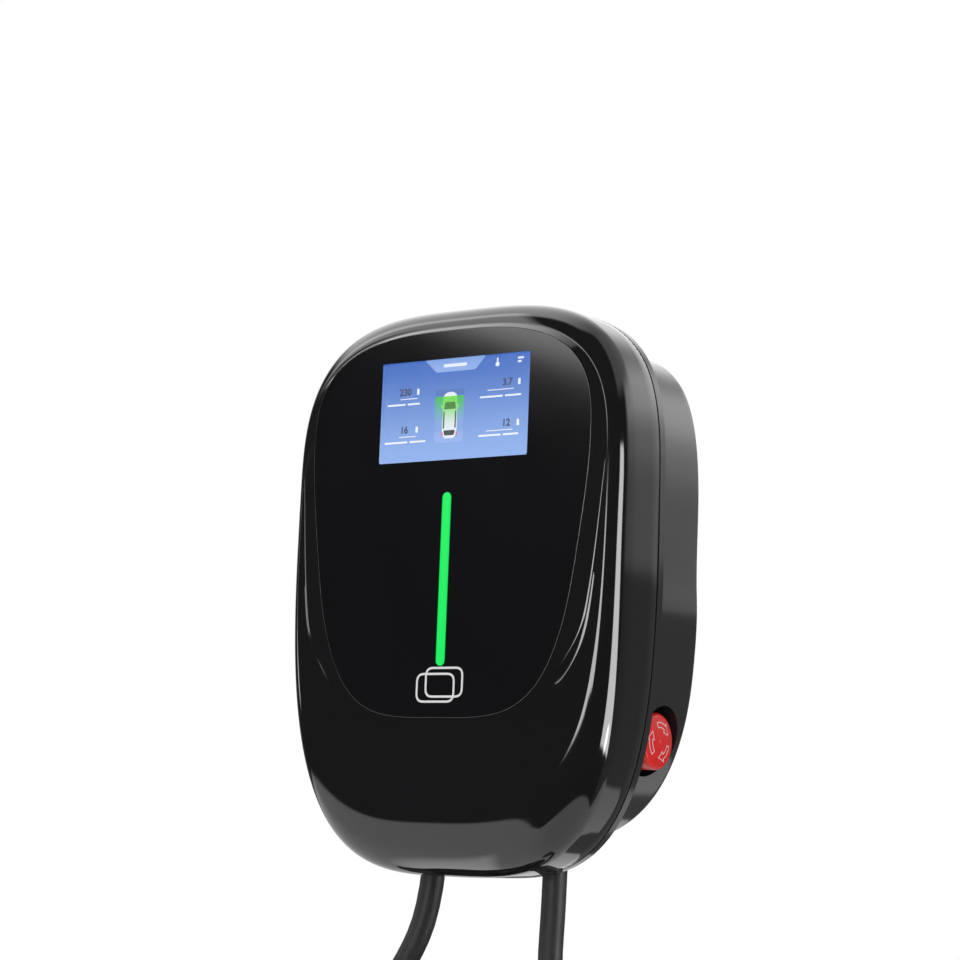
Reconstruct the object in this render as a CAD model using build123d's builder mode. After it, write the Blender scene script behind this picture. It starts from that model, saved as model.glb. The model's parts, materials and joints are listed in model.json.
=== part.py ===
from build123d import *
import os
from math import asin, copysign, cos, pi, radians, sin, tan

os.makedirs("parts", exist_ok=True)

# Frame: +Z up, the wall is the plane Y = 0, the front faces -Y, the origin is the centre of the wall bolts.
# Depths called "out" are measured from the wall towards the front.

# Stack from the wall to the front
STANDOFF = 6.0
BODY_DEPTH = 56.0
FLANGE_DEPTH = 5.0
SEAM_GAP = 0.8
COVER_DEPTH = 42.2
FLANGE_BACK = STANDOFF + BODY_DEPTH
FLANGE_FRONT = FLANGE_BACK + FLANGE_DEPTH
RIM = FLANGE_FRONT + SEAM_GAP
FRONT = RIM + COVER_DEPTH

# Clearances
SLIP = 0.1
SEAT = 0.15
LOOSE = 0.3
SPARE = 1.0

# Cover outline at its rim
COVER_WIDTH = 213.0
COVER_TOP = 150.0
COVER_BOTTOM = -150.6
COVER_WALL = 3.0
COVER_WIDEST = 42.0
COVER_TOP_POWER = 3.37
COVER_BOTTOM_POWER = 3.38
OUTLINE_POINTS = 40

# Flank, crest, ridge and panel, each stepped in from the one outside it
FLANK_DEPTH = 22.4
CREST_SIDE_INSET = 7.8
CREST_TOP_INSET = 10.6
CHIN_RISE = 25.0
CREST_LAND = 1.0
CREST_STEP = 0.5
CREST_TOP_DEPTH = 5.5
BAND_SIDE = 8.0
BAND_TOP = 2.7
RIDGE_FOOT = -74.5
BAND_FOOT = 5.5
PANEL_HINGE = -80.0
PANEL_TOP_DEPTH = 2.4
PANEL_THICKNESS = 3.0
FRONT_WALL = 6.0
LOFT_ANGLES = (0, 25, 45, 62, 75)
CREST_WIDEST = 60.0
CREST_BOTTOM_POWER = 3.3
PANEL_WIDEST = 75.0
FRONT_TOP_POWER = 2.95
FRONT_BOTTOM_POWER = 4.0
FRONT_TAPER = 0.15

# Screen, light bar and card reader on the panel
SCREEN_X = 3.0
SCREEN_Z = 93.5
WINDOW_WIDTH = 96.0
WINDOW_HEIGHT = 54.5
WINDOW_CORNER = 1.0
LCD_WIDTH = 105.5
LCD_HEIGHT = 67.2
LCD_THICKNESS = 5.0
BOARD_THICKNESS = 1.6
DISPLAY_BOARD_SIDE = 9.25
DISPLAY_BOARD_END = 3.4
LIGHT_X = 1.0
LIGHT_TOP = 49.0
LIGHT_BOTTOM = -42.0
LIGHT_WIDTH = 5.5
LIGHT_FLANGE = 2.0
LIGHT_FLANGE_THICKNESS = 1.2
LED_SIZE = 3.0
LED_HEIGHT = 0.8
LED_COUNT = 8
LED_BOARD_WIDTH = 11.5
READER_WIDTH = 52.0
READER_HEIGHT = 38.0
READER_Z = -72.0
POST_RADIUS = 3.5
BOARD_MARGIN = 5.0

# Rear case, stepped in from the flange
LEDGE_SIDE = 11.1
LEDGE_TOP = 14.4
LEDGE_BOTTOM = 19.0
BODY_WIDEST = 0.0
BODY_TOP_POWER = 4.54
BODY_BOTTOM_POWER = 2.75
CASE_WALL = 3.0
BACK_ROUND = 4.4
GASKET_INSET = 1.0
GASKET_WIDTH = 1.4

# Screws
SCREW_RADIUS = 1.5
SCREW_HEAD_RADIUS = 2.7
SCREW_HEAD = 2.0
COVER_SCREW_INSET = 5.6
COVER_SCREW_REACH = 7.0
COVER_BOSS_RADIUS = 4.0
COVER_BOSS_LENGTH = 10.0
COVER_SCREW_ANGLES = (8, 52, 90, 128, 172, 218, 270, 322)

# Wall bracket, hooks and feet
BRACKET_WIDTH = 120.0
BRACKET_HEIGHT = 150.0
BRACKET_THICKNESS = 2.0
BRACKET_CORNER = 8.0
BOLT_SPACING_X = 90.0
BOLT_SPACING_Z = 116.0
BOLT_RADIUS = 3.25
HOOK_X = 40.0
HOOK_Z = 38.0
HOOK_WIDTH = 20.0
HOOK_THICKNESS = 2.5
HOOK_LIP = 9.0
HOOK_ROOM = 1.6
HOOK_BOX_WALL = 2.5
FOOT_X = 55.0
FOOT_Z = -92.0
FOOT_RADIUS = 7.0

# Main board and what stands on it
MAIN_BOARD_WIDTH = 140.0
MAIN_BOARD_TOP = 112.0
MAIN_BOARD_BOTTOM = -38.0
MAIN_BOARD_POST = 10.0
RELAY_WIDTH = 30.0
RELAY_HEIGHT = 36.0
RELAY_DEPTH = 28.0
RELAY_X = -42.0
RELAY_PITCH = 36.0
RELAY_Z = 66.0
POWER_WIDTH = 42.0
POWER_HEIGHT = 50.0
POWER_DEPTH = 24.0
POWER_X = 38.0
POWER_Z = 70.0
SENSOR_RADIUS = 17.0
SENSOR_BORE = 9.5
SENSOR_DEPTH = 16.0
SENSOR_Z = 20.0
TERMINAL_WIDTH = 36.0
TERMINAL_HEIGHT = 24.0
TERMINAL_DEPTH = 34.0
TERMINAL_ENTRY = 8.0
PART_CHAMFER = 1.2

# Cables, their cores and their glands
CABLE_RADIUS = 6.6
CABLE_SETBACK = 16.0
CABLE_CENTRE_X = -4.5
CABLE_SPACING = 78.0
CABLE_START = -118.0
BEND_SHARE = 0.45
CORE_RADIUS = 1.8
CORE_PITCH = 4.7
PAD_BOTTOM = -131.5
PAD_THICKNESS = 4.5
PAD_RISE = 50.0
PAD_MARGIN = 4.0
GLAND_ACROSS = 23.0
GLAND_HEX = 3.0
GLAND_THREAD_RADIUS = 10.0
GLAND_THREAD = 11.0
GLAND_COLLAR = 5.0
GLAND_COLLAR_RADIUS = 9.6
GLAND_COLLAR_WALL = 1.0
GLAND_NUT = 8.0
GLAND_NUT_LIP = 2.0
LOCK_NUT = 5.0
LOCK_NUT_ACROSS = 25.0
LOCK_NUT_ROOM = 15.0

# Stop button in the right side of the case, its axis along X
STOP_OUT = 32.5
STOP_Z = -77.0
POCKET_RADIUS = 18.5
POCKET_FLOOR = 66.0
CAP_RADIUS = 15.0
CAP_FACE = 89.0
CAP_DOME = 1.0
CAP_EDGE = 2.5
CAP_SKIRT = 4.0
CAP_HUB_RADIUS = 11.0
CAP_SOCKET = 7.0
STOP_TRAVEL = 4.0
STEM_RADIUS = 6.0
COLLAR_RADIUS = 14.0
COLLAR_HEIGHT = 3.2
STOP_GASKET = 0.8
BARREL_RADIUS = 11.0
BARREL_LENGTH = 18.0
LOCK_RING_RADIUS = 15.0
LOCK_RING = 5.0
CONTACT_WIDTH = 18.0
CONTACT_HEIGHT = 24.0
CONTACT_DEPTH = 24.0
CONTACT_PIN_RADIUS = 2.0
CONTACT_PIN = 14.0
STEM_TAIL = 2.0

# Coils hanging below, tied together, and the connector beside them
COIL_X = -50.0
COIL_Z = -318.0
COIL_RADIUS = 85.0
CHARGE_COIL_LAYERS = 3
CHARGE_COIL_COLUMNS = 3
CHARGE_COIL_OUT = 26.0
SUPPLY_COIL_LAYERS = 2
COIL_CHAMFER = 4.0
TIE_WIDTH = 20.0
TIE_THICKNESS = 1.4
TIE_ANGLES = (82, 155, 300)
CONNECTOR_X = 86.0
CONNECTOR_OUT = 38.0
CONNECTOR_TOP = -343.0
BOOT_LENGTH = 40.0
BOOT_RADIUS = 8.6
BOOT_FOOT_RADIUS = 14.0
BOOT_FOOT_DEPTH = 31.0
GRIP_LENGTH = 104.0
GRIP_WIDTH = 38.0
GRIP_DEPTH = 44.0
GRIP_HOLD_START = 0.3
GRIP_HOLD_END = 0.65
GRIP_SHOULDER = 60.0
GRIP_SHOULDER_DEPTH = 64.0
GRIP_SHOULDER_LENGTH = 12.0
NOSE_RADIUS = 27.0
NOSE_FLAT = 20.0
NOSE_LENGTH = 44.0
CAP_WALL = 2.5
END_CORE = 40.0
END_CORE_RING = 3.5

CABLE_DIAMETER = 2 * CABLE_RADIUS
SUPPLY_X = CABLE_CENTRE_X - CABLE_SPACING / 2
CHARGE_X = CABLE_CENTRE_X + CABLE_SPACING / 2
CABLE_OUT = FLANGE_BACK - CABLE_SETBACK
SHOULDER = RIM + FLANK_DEPTH
RIDGE_TOP = COVER_TOP - CREST_TOP_INSET - CREST_LAND
PANEL_SLOPE = PANEL_TOP_DEPTH / (RIDGE_TOP - PANEL_HINGE)
CREST_SLOPE = CREST_TOP_DEPTH / (RIDGE_TOP - PANEL_HINGE)
CREST_OUT = FRONT - CREST_STEP
DISPLAY_BOARD_WIDTH = LCD_WIDTH + 2 * DISPLAY_BOARD_SIDE
DISPLAY_BOARD_HEIGHT = LCD_HEIGHT + 2 * DISPLAY_BOARD_END


def egg(half_width, widest, top, bottom, n_top, n_bottom, taper=0.0, inset=0.0):
    """Points of a closed superellipse with its own top and bottom, narrowing below its widest line."""
    points = []
    for step in range(OUTLINE_POINTS):
        turn = 2 * pi * step / OUTLINE_POINTS
        across, up = cos(turn), sin(turn)
        power = 2 / (n_top if up >= 0 else n_bottom)
        reach = top - inset - widest if up >= 0 else widest - bottom - inset
        z = widest + reach * copysign(abs(up) ** power, up)
        narrowing = 1 - taper * max(0.0, (widest - z) / (widest - bottom))
        x = (half_width - inset) * narrowing * copysign(abs(across) ** power, across)
        points.append((x, z))
    return points


def cover_outline(inset=0.0):
    return egg(COVER_WIDTH / 2, COVER_WIDEST, COVER_TOP, COVER_BOTTOM, COVER_TOP_POWER, COVER_BOTTOM_POWER,
               inset=inset)


def crest_outline(inset=0.0):
    half_width = COVER_WIDTH / 2 - CREST_SIDE_INSET
    return egg(half_width, CREST_WIDEST, COVER_TOP - CREST_TOP_INSET, COVER_BOTTOM + CHIN_RISE,
               FRONT_TOP_POWER, CREST_BOTTOM_POWER, inset=inset)


def ridge_outline():
    half_width = COVER_WIDTH / 2 - CREST_SIDE_INSET - CREST_LAND
    return egg(half_width, CREST_WIDEST, RIDGE_TOP, RIDGE_FOOT, FRONT_TOP_POWER, FRONT_BOTTOM_POWER,
               taper=FRONT_TAPER)


def panel_outline(inset=0.0):
    half_width = COVER_WIDTH / 2 - CREST_SIDE_INSET - CREST_LAND - BAND_SIDE
    return egg(half_width, PANEL_WIDEST, RIDGE_TOP - BAND_TOP, RIDGE_FOOT + BAND_FOOT,
               FRONT_TOP_POWER, FRONT_BOTTOM_POWER, taper=FRONT_TAPER, inset=inset)


def body_outline(inset=0.0):
    half_width = COVER_WIDTH / 2 - LEDGE_SIDE
    return egg(half_width, BODY_WIDEST, COVER_TOP - LEDGE_TOP, COVER_BOTTOM + LEDGE_BOTTOM,
               BODY_TOP_POWER, BODY_BOTTOM_POWER, inset=inset)


def between(outer, inner, share):
    """The outline part of the way from one outline to another."""
    return [(a[0] + (b[0] - a[0]) * share, a[1] + (b[1] - a[1]) * share) for a, b in zip(outer, inner)]


def at(out):
    """Plane parallel to the wall, facing the front."""
    return Plane.XZ.offset(out)


def leaning(out, slope):
    """Plane facing the front that leans back above the panel's hinge line."""
    return Plane(origin=(0, -out, PANEL_HINGE), x_dir=(1, 0, 0), z_dir=(0, -1, slope))


def below_panel(depth):
    """Plane parallel to the panel's face, the given depth behind it."""
    return leaning(FRONT, PANEL_SLOPE).offset(-depth)


def on_panel(points):
    """Outline points moved to a leaning plane's own origin."""
    return [(x, z - PANEL_HINGE) for x, z in points]


def side(x):
    """Plane across the stop button's axis, facing +X."""
    return Plane(origin=(x, -STOP_OUT, STOP_Z), x_dir=(0, 1, 0), z_dir=(1, 0, 0))


def outline_face(points):
    """Closed smooth face through the points."""
    edge = Edge.make_spline([Vector(x, z) for x, z in points], periodic=True)
    return Face(Wire([edge]))


def save(builder, label):
    builder.part.label = label
    export_step(builder.part, f"parts/{label}.step")


def loft_rise(angle):
    return sin(radians(angle)) / sin(radians(LOFT_ANGLES[-1]))


def loft_creep(angle):
    return (1 - cos(radians(angle))) / (1 - cos(radians(LOFT_ANGLES[-1])))


# Places shared by pieces that meet
cover_screw_line = cover_outline(COVER_SCREW_INSET)
cover_screw_steps = [round(angle / 360 * OUTLINE_POINTS) for angle in COVER_SCREW_ANGLES]
cover_screw_places = [cover_screw_line[step] for step in cover_screw_steps]
lcd_depth = PANEL_THICKNESS + 2 * SLIP
board_depth = lcd_depth + LCD_THICKNESS
display_posts = [
    (SCREEN_X + sx * (DISPLAY_BOARD_WIDTH / 2 - BOARD_MARGIN),
     SCREEN_Z - PANEL_HINGE + sz * (DISPLAY_BOARD_HEIGHT / 2 - BOARD_MARGIN))
    for sx in (-1, 1) for sz in (-1, 1)
]
reader_posts = [
    (LIGHT_X + sx * (READER_WIDTH / 2 - BOARD_MARGIN),
     READER_Z - PANEL_HINGE + sz * (READER_HEIGHT / 2 - BOARD_MARGIN))
    for sx in (-1, 1) for sz in (-1, 1)
]
main_board_out = STANDOFF + CASE_WALL + MAIN_BOARD_POST
main_board_front = main_board_out + BOARD_THICKNESS
main_board_height = MAIN_BOARD_TOP - MAIN_BOARD_BOTTOM
main_board_z = (MAIN_BOARD_TOP + MAIN_BOARD_BOTTOM) / 2
main_posts = [
    (sx * (MAIN_BOARD_WIDTH / 2 - BOARD_MARGIN), main_board_z + sz * (main_board_height / 2 - BOARD_MARGIN))
    for sx in (-1, 1) for sz in (-1, 1)
]
light_centre = (LIGHT_X, (LIGHT_TOP + LIGHT_BOTTOM) / 2 - PANEL_HINGE)
light_length = LIGHT_TOP - LIGHT_BOTTOM
screen_centre = (SCREEN_X, SCREEN_Z - PANEL_HINGE)
reader_centre = (LIGHT_X, READER_Z - PANEL_HINGE)


# Front cover: upright flank, lofted shoulder and raised band, hollowed and cut for the panel and screen
with BuildPart() as front_cover:
    with BuildSketch(at(RIM)):
        add(outline_face(cover_outline()))
    extrude(amount=FLANK_DEPTH)
    for angle in LOFT_ANGLES:
        rise = loft_rise(angle)
        with BuildSketch(leaning(SHOULDER + (CREST_OUT - SHOULDER) * rise, CREST_SLOPE * rise)):
            add(outline_face(on_panel(between(cover_outline(), crest_outline(), loft_creep(angle)))))
    loft()
    with BuildSketch(leaning(CREST_OUT, CREST_SLOPE)):
        add(outline_face(on_panel(ridge_outline())))
    with BuildSketch(below_panel(0)):
        add(outline_face(on_panel(panel_outline(-SEAT))))
    loft()
    with BuildSketch(at(RIM)):
        add(outline_face(cover_outline(COVER_WALL)))
    extrude(amount=FLANK_DEPTH, mode=Mode.SUBTRACT)
    for angle in LOFT_ANGLES:
        rise = loft_rise(angle)
        inner = between(cover_outline(COVER_WALL), crest_outline(COVER_WALL), loft_creep(angle))
        with BuildSketch(leaning(SHOULDER + (FRONT - FRONT_WALL - SHOULDER) * rise, PANEL_SLOPE * rise)):
            add(outline_face(on_panel(inner)))
    loft(mode=Mode.SUBTRACT)
    with BuildSketch(below_panel(PANEL_THICKNESS)):
        add(outline_face(on_panel(panel_outline(-SEAT))))
    extrude(amount=PANEL_THICKNESS, mode=Mode.SUBTRACT)
    with BuildSketch(below_panel(board_depth)):
        with Locations(*display_posts, *reader_posts):
            Circle(POST_RADIUS)
    extrude(amount=board_depth - (PANEL_THICKNESS + FRONT_WALL) / 2)
    with BuildSketch(at(RIM)):
        with Locations(*cover_screw_places):
            Circle(COVER_BOSS_RADIUS)
    extrude(amount=COVER_BOSS_LENGTH)
    with BuildSketch(at(RIM)):
        with Locations(*cover_screw_places):
            Circle(SCREW_RADIUS + SLIP)
    extrude(amount=COVER_SCREW_REACH + SEAT, mode=Mode.SUBTRACT)
    with BuildSketch(below_panel(board_depth)):
        with Locations(*display_posts, *reader_posts):
            Circle(SCREW_RADIUS + SLIP)
    extrude(amount=board_depth - PANEL_THICKNESS - SPARE, mode=Mode.SUBTRACT)
    with BuildSketch(below_panel(FRONT_WALL + SPARE)):
        with Locations(screen_centre):
            Rectangle(LCD_WIDTH + 2 * SEAT, LCD_HEIGHT + 2 * SEAT)
        with Locations(light_centre):
            SlotOverall(light_length + 2 * SEAT, LIGHT_WIDTH + 2 * SEAT, rotation=90)
    extrude(amount=FRONT_WALL + SPARE, mode=Mode.SUBTRACT)
save(front_cover, "front_cover")

# Front panel with its window and light slot
with BuildPart() as front_panel:
    with BuildSketch(below_panel(PANEL_THICKNESS)):
        add(outline_face(on_panel(panel_outline())))
        with Locations(screen_centre):
            RectangleRounded(WINDOW_WIDTH, WINDOW_HEIGHT, WINDOW_CORNER, mode=Mode.SUBTRACT)
        with Locations(light_centre):
            SlotOverall(light_length + 2 * SEAT, LIGHT_WIDTH + 2 * SEAT, rotation=90, mode=Mode.SUBTRACT)
    extrude(amount=PANEL_THICKNESS)
save(front_panel, "front_panel")

# Clear window over the screen
with BuildPart() as display_window:
    with BuildSketch(below_panel(PANEL_THICKNESS)):
        with Locations(screen_centre):
            RectangleRounded(WINDOW_WIDTH - 2 * SLIP, WINDOW_HEIGHT - 2 * SLIP, WINDOW_CORNER)
    extrude(amount=PANEL_THICKNESS)
save(display_window, "display_window")

# Screen module behind the window
with BuildPart() as lcd_module:
    with BuildSketch(below_panel(board_depth)):
        with Locations(screen_centre):
            Rectangle(LCD_WIDTH, LCD_HEIGHT)
    extrude(amount=LCD_THICKNESS)
save(lcd_module, "lcd_module")


def cover_board(width, height, centre, posts, label):
    """Circuit board screwed to the cover's posts."""
    with BuildPart() as board:
        with BuildSketch(below_panel(board_depth + BOARD_THICKNESS)):
            with Locations(centre):
                RectangleRounded(width, height, BOARD_MARGIN / 2)
            with Locations(*posts):
                Circle(SCREW_RADIUS + SLIP, mode=Mode.SUBTRACT)
        extrude(amount=BOARD_THICKNESS)
    save(board, label)


cover_board(DISPLAY_BOARD_WIDTH, DISPLAY_BOARD_HEIGHT, screen_centre, display_posts, "display_board")
cover_board(READER_WIDTH, READER_HEIGHT, reader_centre, reader_posts, "card_reader_board")

# Light guide: a bar through the panel with a flange behind the cover wall
with BuildPart() as light_guide:
    with BuildSketch(below_panel(FRONT_WALL)):
        with Locations(light_centre):
            SlotOverall(light_length, LIGHT_WIDTH, rotation=90)
    extrude(amount=FRONT_WALL)
    with BuildSketch(below_panel(FRONT_WALL)):
        with Locations(light_centre):
            SlotOverall(light_length + 2 * LIGHT_FLANGE, LIGHT_WIDTH + 2 * LIGHT_FLANGE, rotation=90)
    extrude(amount=-LIGHT_FLANGE_THICKNESS)
save(light_guide, "light_guide")

# Strip of lamps pressed against the guide's flange
led_board_depth = FRONT_WALL + LIGHT_FLANGE_THICKNESS + LED_HEIGHT
with BuildPart() as led_board:
    with BuildSketch(below_panel(led_board_depth)):
        with Locations(light_centre):
            Rectangle(LED_BOARD_WIDTH, light_length)
    extrude(amount=-BOARD_THICKNESS)
    with BuildSketch(below_panel(led_board_depth)):
        with Locations(light_centre):
            with GridLocations(0, light_length / LED_COUNT, 1, LED_COUNT):
                Rectangle(LED_SIZE, LED_SIZE)
    extrude(amount=LED_HEIGHT)
save(led_board, "led_board")

# Gasket in the seam
with BuildPart() as cover_gasket:
    with BuildSketch(at(FLANGE_FRONT)):
        add(outline_face(cover_outline(GASKET_INSET)))
    extrude(amount=SEAM_GAP)
    with BuildSketch(at(FLANGE_FRONT)):
        add(outline_face(cover_outline(GASKET_INSET + GASKET_WIDTH)))
    extrude(amount=SEAM_GAP, mode=Mode.SUBTRACT)
save(cover_gasket, "cover_gasket")

# Inside of the rear case, leaving the cup round the stop button and the boxes behind the hook slots
hook_arm_top = HOOK_Z + HOOK_THICKNESS / 2
hook_lip_back = STANDOFF + CASE_WALL + HOOK_ROOM
hook_reach = hook_lip_back + HOOK_THICKNESS
hook_room_top = hook_arm_top + HOOK_LIP + HOOK_ROOM
hook_room_bottom = hook_arm_top - HOOK_LIP - 2 * HOOK_THICKNESS
hook_room_height = hook_room_top - hook_room_bottom
hook_room_z = (hook_room_top + hook_room_bottom) / 2
hook_room_out = hook_reach + HOOK_ROOM
hook_room_width = HOOK_WIDTH + 2 * HOOK_ROOM
cable_places = [(SUPPLY_X, -CABLE_OUT), (CHARGE_X, -CABLE_OUT)]
with BuildPart() as case_inside:
    with BuildSketch(at(STANDOFF + CASE_WALL)):
        add(outline_face(body_outline(CASE_WALL)))
    extrude(amount=FLANGE_FRONT - STANDOFF - CASE_WALL)
    with BuildSketch(side(POCKET_FLOOR - CASE_WALL)):
        Circle(POCKET_RADIUS + CASE_WALL)
    extrude(amount=COVER_WIDTH / 2, mode=Mode.SUBTRACT)
    with BuildSketch(at(STANDOFF + CASE_WALL)):
        with Locations((-HOOK_X, hook_room_z), (HOOK_X, hook_room_z)):
            Rectangle(hook_room_width + 2 * HOOK_BOX_WALL, hook_room_height + 2 * HOOK_BOX_WALL)
    extrude(amount=hook_room_out + HOOK_BOX_WALL - STANDOFF - CASE_WALL, mode=Mode.SUBTRACT)
    with BuildSketch(at(STANDOFF + CASE_WALL)):
        with Locations(*main_posts):
            Circle(POST_RADIUS)
    extrude(amount=MAIN_BOARD_POST, mode=Mode.SUBTRACT)

# Rear case: body, flange, gland pad, pocket, hook slots, feet and holes
pad_depth = FLANGE_BACK - (CABLE_OUT - GLAND_ACROSS / 2 - PAD_MARGIN)
pad_width = CABLE_SPACING + GLAND_ACROSS + 2 * PAD_MARGIN
with BuildPart() as rear_case:
    with BuildSketch(at(STANDOFF)):
        add(outline_face(body_outline()))
    extrude(amount=BODY_DEPTH)
    fillet(rear_case.faces().sort_by(Axis.Y)[-1].edges(), radius=BACK_ROUND)
    with BuildSketch(Plane.XY.offset(PAD_BOTTOM)):
        with Locations((CABLE_CENTRE_X, -FLANGE_BACK + pad_depth / 2)):
            RectangleRounded(pad_width, pad_depth, PAD_MARGIN)
    extrude(amount=PAD_RISE)
    with BuildSketch(at(FLANGE_BACK)):
        add(outline_face(cover_outline()))
    extrude(amount=FLANGE_DEPTH)
    add(case_inside.part, mode=Mode.SUBTRACT)
    with BuildSketch(Plane.XY.offset(PAD_BOTTOM)):
        with Locations(*cable_places):
            Circle(GLAND_THREAD_RADIUS + SEAT)
    extrude(amount=GLAND_THREAD + LOCK_NUT, mode=Mode.SUBTRACT)
    with BuildSketch(Plane.XY.offset(PAD_BOTTOM + PAD_THICKNESS)):
        with Locations(*cable_places):
            Circle(LOCK_NUT_ROOM)
    extrude(amount=GLAND_THREAD + 2 * LOCK_NUT, mode=Mode.SUBTRACT)
    with BuildSketch(side(POCKET_FLOOR)):
        Circle(POCKET_RADIUS)
    extrude(amount=COVER_WIDTH / 2, mode=Mode.SUBTRACT)
    with BuildSketch(side(POCKET_FLOOR)):
        Circle(BARREL_RADIUS + SEAT)
    extrude(amount=-2 * CASE_WALL, mode=Mode.SUBTRACT)
    with BuildSketch(at(STANDOFF)):
        with Locations((-HOOK_X, hook_room_z), (HOOK_X, hook_room_z)):
            Rectangle(hook_room_width, hook_room_height)
    extrude(amount=hook_room_out - STANDOFF, mode=Mode.SUBTRACT)
    with BuildSketch(at(STANDOFF)):
        with Locations((-HOOK_X, hook_room_top - HOOK_LIP / 2), (HOOK_X, hook_room_top - HOOK_LIP / 2)):
            Rectangle(hook_room_width, HOOK_LIP + 2 * HOOK_ROOM - 2 * SEAT)
    extrude(amount=CASE_WALL)
    with BuildSketch(at(0)):
        with Locations((-FOOT_X, FOOT_Z), (FOOT_X, FOOT_Z)):
            Circle(FOOT_RADIUS)
    extrude(amount=STANDOFF)
    with BuildSketch(at(FLANGE_BACK)):
        with Locations(*cover_screw_places):
            Circle(SCREW_RADIUS + SLIP)
    extrude(amount=FLANGE_DEPTH, mode=Mode.SUBTRACT)
    with BuildSketch(at(main_board_out)):
        with Locations(*main_posts):
            Circle(SCREW_RADIUS + SLIP)
    extrude(amount=-MAIN_BOARD_POST + SPARE, mode=Mode.SUBTRACT)
save(rear_case, "rear_case")

# Screws: cover screws from behind the flange, board screws from the open side of each board
with BuildPart() as cover_screws:
    with BuildSketch(at(FLANGE_BACK)):
        with Locations(*cover_screw_places):
            Circle(SCREW_HEAD_RADIUS)
    extrude(amount=-SCREW_HEAD)
    with BuildSketch(at(FLANGE_BACK)):
        with Locations(*cover_screw_places):
            Circle(SCREW_RADIUS)
    extrude(amount=FLANGE_DEPTH + SEAM_GAP + COVER_SCREW_REACH)
save(cover_screws, "cover_screws")

with BuildPart() as board_screws:
    with BuildSketch(below_panel(board_depth + BOARD_THICKNESS)):
        with Locations(*display_posts, *reader_posts):
            Circle(SCREW_HEAD_RADIUS)
    extrude(amount=-SCREW_HEAD)
    with BuildSketch(below_panel(board_depth + BOARD_THICKNESS)):
        with Locations(*display_posts, *reader_posts):
            Circle(SCREW_RADIUS)
    extrude(amount=BOARD_THICKNESS + board_depth - PANEL_THICKNESS - SPARE - SEAT)
    with BuildSketch(at(main_board_front)):
        with Locations(*main_posts):
            Circle(SCREW_HEAD_RADIUS)
    extrude(amount=SCREW_HEAD)
    with BuildSketch(at(main_board_front)):
        with Locations(*main_posts):
            Circle(SCREW_RADIUS)
    extrude(amount=-BOARD_THICKNESS - MAIN_BOARD_POST + SPARE + SEAT)
save(board_screws, "board_screws")

# Wall bracket with two hooks
with BuildPart() as wall_bracket:
    with BuildSketch(at(0)):
        RectangleRounded(BRACKET_WIDTH, BRACKET_HEIGHT, BRACKET_CORNER)
        with GridLocations(BOLT_SPACING_X, BOLT_SPACING_Z, 2, 2):
            Circle(BOLT_RADIUS, mode=Mode.SUBTRACT)
    extrude(amount=BRACKET_THICKNESS)
    with BuildSketch(at(BRACKET_THICKNESS)):
        with Locations((-HOOK_X, HOOK_Z), (HOOK_X, HOOK_Z)):
            Rectangle(HOOK_WIDTH, HOOK_THICKNESS)
    extrude(amount=hook_reach - BRACKET_THICKNESS)
    with BuildSketch(at(hook_lip_back)):
        lip_z = HOOK_Z - HOOK_THICKNESS / 2 + (HOOK_LIP + HOOK_THICKNESS) / 2
        with Locations((-HOOK_X, lip_z), (HOOK_X, lip_z)):
            Rectangle(HOOK_WIDTH, HOOK_LIP + HOOK_THICKNESS)
    extrude(amount=HOOK_THICKNESS)
save(wall_bracket, "wall_bracket")

# Main board
with BuildPart() as main_board:
    with BuildSketch(at(main_board_out)):
        with Locations((0, main_board_z)):
            RectangleRounded(MAIN_BOARD_WIDTH, main_board_height, BOARD_MARGIN / 2)
        with Locations(*main_posts):
            Circle(SCREW_RADIUS + SLIP, mode=Mode.SUBTRACT)
    extrude(amount=BOARD_THICKNESS)
save(main_board, "main_board")


def board_block(x, z, width, height, depth, label):
    """Boxed part standing on the main board, its front edges broken."""
    with BuildPart() as block:
        with BuildSketch(at(main_board_front)):
            with Locations((x, z)):
                Rectangle(width, height)
        extrude(amount=depth)
        chamfer(block.faces().sort_by(Axis.Y)[0].edges(), length=PART_CHAMFER)
    save(block, label)


board_block(RELAY_X, RELAY_Z, RELAY_WIDTH, RELAY_HEIGHT, RELAY_DEPTH, "relay_line")
board_block(RELAY_X + RELAY_PITCH, RELAY_Z, RELAY_WIDTH, RELAY_HEIGHT, RELAY_DEPTH, "relay_neutral")
board_block(POWER_X, POWER_Z, POWER_WIDTH, POWER_HEIGHT, POWER_DEPTH, "power_module")

# Ring-shaped leakage sensor
with BuildPart() as leakage_sensor:
    with BuildSketch(at(main_board_front)):
        with Locations((SUPPLY_X, SENSOR_Z)):
            Circle(SENSOR_RADIUS)
            Circle(SENSOR_BORE, mode=Mode.SUBTRACT)
    extrude(amount=SENSOR_DEPTH)
save(leakage_sensor, "leakage_sensor")

core_places = [-CORE_PITCH, 0, CORE_PITCH]


def terminals(x, label):
    """Terminal block at the board's lower edge, with an entry under it for each core."""
    with BuildPart() as block:
        with BuildSketch(at(main_board_front)):
            with Locations((x, MAIN_BOARD_BOTTOM + TERMINAL_HEIGHT / 2)):
                Rectangle(TERMINAL_WIDTH, TERMINAL_HEIGHT)
        extrude(amount=TERMINAL_DEPTH)
        chamfer(block.faces().sort_by(Axis.Y)[0].edges(), length=PART_CHAMFER)
        with BuildSketch(Plane.XY.offset(MAIN_BOARD_BOTTOM)):
            with Locations(*[(x + shift, -CABLE_OUT) for shift in core_places]):
                Circle(CORE_RADIUS + SEAT)
        extrude(amount=TERMINAL_ENTRY, mode=Mode.SUBTRACT)
    save(block, label)


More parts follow.
